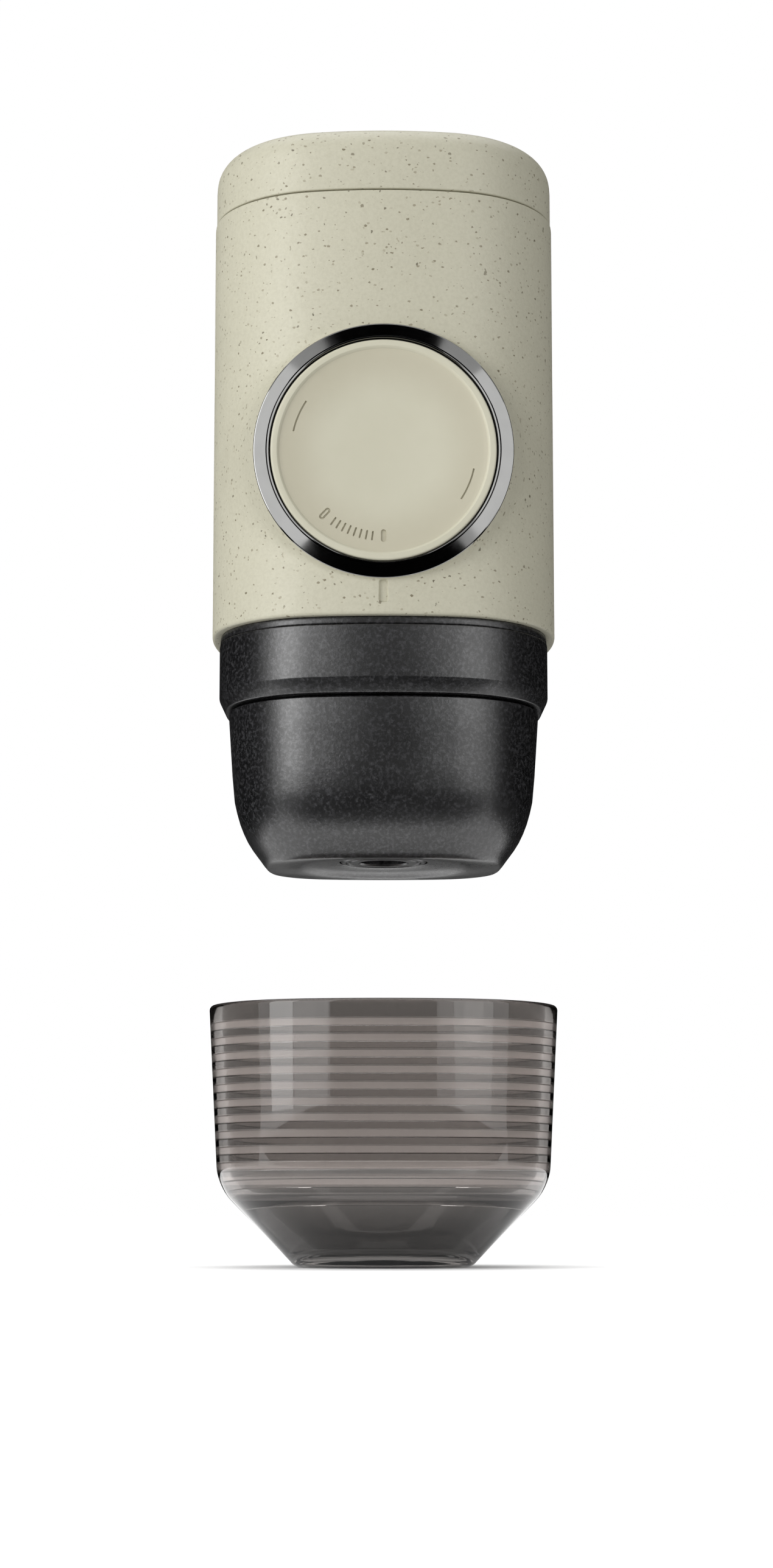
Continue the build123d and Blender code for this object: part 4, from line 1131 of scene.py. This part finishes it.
def push_ribs(bm):
    """Cuts the inside into bands and pushes every second one inwards."""
    for k in range(RIB_COUNT):
        low = RIB_START + k * RIB_PITCH
        high = low + RIB_PITCH / 2
        for height in (low - RIB_SLOPE, low + RIB_SLOPE, high - RIB_SLOPE, high + RIB_SLOPE):
            cut_level(bm, height)
        for v in bm.verts:
            if low + RIB_SLOPE / 2 < v.co.z < high - RIB_SLOPE / 2:
                shrink = 1 - RIB_PROUD / math.hypot(v.co.x, v.co.y)
                v.co.x *= shrink
                v.co.y *= shrink


def shrunk(places, share, height):
    """A ring's places drawn in towards the middle, at another height."""
    return [(x * share, y * share, height) for x, y, _ in places]


def build_cup():
    """The cup, which is also the maker's bottom cover."""
    bm = bmesh.new()
    rise = CUP_WALL * math.tan(math.radians(SHOULDER_TURN / 2))
    floor = oval(CUP_WALL / 2, CUP_FLOOR, FOOT_ARCS)
    rows = [oval(CUP_WALL, cup_top), oval(SHOULDER_INSET + CUP_WALL, SHOULDER + rise), floor,
            shrunk(floor, 0.4, CUP_FLOOR)]
    rings = stack(bm, rows)
    rim = rings[0]
    round_edge(bm, rings[1], SHOULDER_BEVEL - rise, 8)
    round_edge(bm, rings[2], FLOOR_ROUND, 4)
    push_ribs(bm)
    foot = oval(0, 0, FOOT_ARCS)
    rows = [oval(0, cup_top), oval(SHOULDER_INSET, SHOULDER), foot]
    rows += [shrunk(foot, share, height) for share, height in FOOT_RECESS]
    rings = stack(bm, rows, rim)
    round_edge(bm, rings[2], SHOULDER_BEVEL, 10)
    round_edge(bm, rings[3], FOOT_ROUND, 4)
    round_edge(bm, rings[0], RIM_ROUND, 4)
    round_edge(bm, rings[1], RIM_ROUND, 4)
    return finish_mesh(bm, "cup_skin", crisp=30.0)


cup_skin = build_cup()
dress(cup_skin, "cup", "smoke_cup", smoke_finish, "cup")

# %% [markdown]
# The frame's remaining nodes are inside the maker and already have their real shape, so they keep
# it and take a finish by the slot that the record gives them.

# %% Finishes of the frame's own nodes
FINISHES = {
    "speckled_shell": speckled, "knob_plastic": knob_finish, "dark_plastic": dark_finish,
    "bezel_chrome": chrome_finish, "smoke_cup": smoke_finish, "tank_clear": tank_finish,
    "inner_plastic": inner_finish, "pump_plastic": pump_finish, "silicone": silicone_finish,
    "steel": steel_finish,
}
slots = {entry["node"]: entry["material_slot"] for entry in frame["record"]["subparts"]}
for name, node in frame["nodes"].items():
    node.data.materials.clear()
    node.data.materials.append(FINISHES[slots[name]])
print("finished", len(frame["nodes"]), "nodes of the frame")

# %% [markdown]
# A pale floor under the cup, and a white room. The lamps alone would leave both grey, so they get
# their white only for rays from the camera, off shiny pieces and through clear ones, and the light
# on the maker stays plain. Close to the cup the floor's glow fades, which keeps its shadow.

# %% Floor and world
FLOOR_RADIUS = 6.0
SHADOW_INNER = 0.018
SHADOW_OUTER = 0.055
GLOW_NEAR = 0.12
GLOW_FAR = 0.80
ROOM_LIGHT = 0.30


def seen_directly(tree):
    """1 for rays from the camera, off a shiny piece or through a clear one, otherwise 0."""
    path = add(tree, "LightPath")
    plain = arithmetic(tree, "MAXIMUM", path.outputs["Is Camera Ray"],
                       path.outputs["Is Transmission Ray"])
    return arithmetic(tree, "MAXIMUM", plain, path.outputs["Is Glossy Ray"])


def stage_object(name, bm, material):
    """A piece of the studio."""
    piece = mesh_object(name, bm)
    piece.data.materials.append(material)
    return piece


def floor_paint():
    """Pale floor: its shadow stays, and its far parts go to the room's white."""
    material, tree = new_material("floor_paint")
    spot = add(tree, "VectorMath", {0: place(tree)}, operation="LENGTH").outputs["Value"]
    far = remap(tree, spot, SHADOW_INNER, SHADOW_OUTER, GLOW_NEAR, GLOW_FAR)
    glow = arithmetic(tree, "MULTIPLY", seen_directly(tree), far)
    cloud = noise(tree, 3.0, 2.0)
    tone = blend(tree, cloud, (0.84, 0.84, 0.84, 1), (0.86, 0.86, 0.86, 1))
    surface(tree, {"Base Color": tone, "Roughness": 0.9, "Specular IOR Level": 0.0,
                   "Emission Color": (1, 1, 1, 1), "Emission Strength": glow})
    return material


floor_mesh = bmesh.new()
bmesh.ops.create_circle(floor_mesh, cap_ends=True, segments=96, radius=FLOOR_RADIUS)
stage_object("floor", floor_mesh, floor_paint())

world = bpy.data.worlds.new("room")
bpy.context.scene.world = world
world.use_nodes = True
room = world.node_tree
sky = room.nodes["Background"]
sky.inputs["Color"].default_value = (1, 1, 1, 1)
feed(room, sky.inputs["Strength"],
     remap(room, seen_directly(room), 0.0, 1.0, ROOM_LIGHT, 1.0))
print("room light", ROOM_LIGHT)

# %% [markdown]
# Soft boxes stand to the left and the right and one hangs above, with a dark gap in front, as in a
# product studio. The gap is a black card that only reflections see: it draws the dark middle of
# the collar and the dark top and bottom of the plated ring. A second card, bent round behind the
# maker, keeps the edges of the dark pieces dark against the white room. The side lamp only lifts
# the shade on the left, so no reflection shows it.

# %% Soft boxes and the cards
CARD_LIFT = 0.002
CARD_HALF = 0.36
CARD_NEAR = -0.1
CARD_FAR = -1.3
CARD_TOP = 1.7
BACK_CARD_START = 72.0
BACK_CARD_INNER = 0.2
BACK_CARD_RADIUS = 1.3
BACK_CARD_TOP = 1.6
AIM_HEIGHT = 0.13


def build_card():
    """A card that lies on the floor before the maker and stands up behind the camera."""
    bm = bmesh.new()
    row = [bm.verts.new((side * CARD_HALF, CARD_NEAR, CARD_LIFT)) for side in (-1, 1)]
    bm.edges.new(row)
    for height in (CARD_LIFT, CARD_TOP):
        places = [(side * CARD_HALF, CARD_FAR, height) for side in (-1, 1)]
        row = grow(bm, row, places, closed=False)
    return bm


def build_back_card():
    """A card on the floor and upright, bent round the maker's sides and back."""
    bm = bmesh.new()
    start = math.radians(BACK_CARD_START)
    out = Vector((math.sin(start), -math.cos(start), 0.0))
    profile = ((BACK_CARD_INNER, CARD_LIFT), (BACK_CARD_RADIUS, CARD_LIFT),
               (BACK_CARD_RADIUS, BACK_CARD_TOP))
    verts = [bm.verts.new((out.x * r, out.y * r, z)) for r, z in profile]
    edges = [bm.edges.new(pair) for pair in zip(verts, verts[1:])]
    bmesh.ops.spin(bm, geom=verts + edges, cent=(0, 0, 0), axis=(0, 0, 1),
                   angle=2 * (math.pi - start), steps=48)
    return bm


def glossy_only(piece):
    """Hides a piece of the studio from all but reflections."""
    piece.visible_camera = False
    piece.visible_diffuse = False
    piece.visible_shadow = False
    piece.visible_transmission = False


card_cloth, card_tree = new_material("card_cloth")
surface(card_tree, {"Base Color": (0.003, 0.003, 0.003, 1), "Roughness": 1.0,
                    "Specular IOR Level": 0.0})
glossy_only(stage_object("card", build_card(), card_cloth))
glossy_only(stage_object("back_card", build_back_card(), card_cloth))


def soft_box(name, position, size, power):
    """A large lamp aimed at the maker."""
    data = bpy.data.lights.new(name, "AREA")
    data.shape = "RECTANGLE"
    data.size, data.size_y = size
    data.energy = power
    lamp = new_object(name, data)
    lamp.location = position
    aim = Vector((0, 0, AIM_HEIGHT)) - Vector(position)
    lamp.rotation_euler = aim.to_track_quat("-Z", "Y").to_euler()
    print(name, power, "W")
    return lamp


soft_box("key", (-0.706, -0.636, 0.34), (0.4, 0.9), 4.1)
soft_box("key_edge", (-0.456, -0.935, 0.34), (0.38, 0.9), 1.25)
soft_box("fill", (0.585, -0.749, 0.28), (0.6, 0.9), 1.85)
soft_box("top", (0.0, 0.15, 1.1), (0.8, 0.8), 2.6)
side_lamp = soft_box("side", (-0.92, -0.25, 0.34), (0.5, 0.9), 2.7)
side_lamp.visible_glossy = False

# %% [markdown]
# The camera stands low in front of the maker and looks a little up, so the seams arch, and the
# bowl shows its floor.

# %% Camera
CAMERA_PLACE = (0.0, -0.578, 0.0107)
CAMERA_PITCH = 8.25
SENSOR_WIDTH = 36.0
LENS = 67.67
SIDE_SHIFT = 0.0019

camera_data = bpy.data.cameras.new("camera")
camera_data.sensor_width = SENSOR_WIDTH
camera_data.lens = LENS
camera_data.shift_x = SIDE_SHIFT
camera_data.clip_start = 0.02
camera_data.clip_end = 20.0
camera = new_object("camera", camera_data)
camera.location = CAMERA_PLACE
camera.rotation_euler = (math.radians(90 + CAMERA_PITCH), 0.0, 0.0)
bpy.context.scene.camera = camera
bpy.context.scene.view_settings.view_transform = "Standard"
print("camera", tuple(round(v, 4) for v in camera.location))
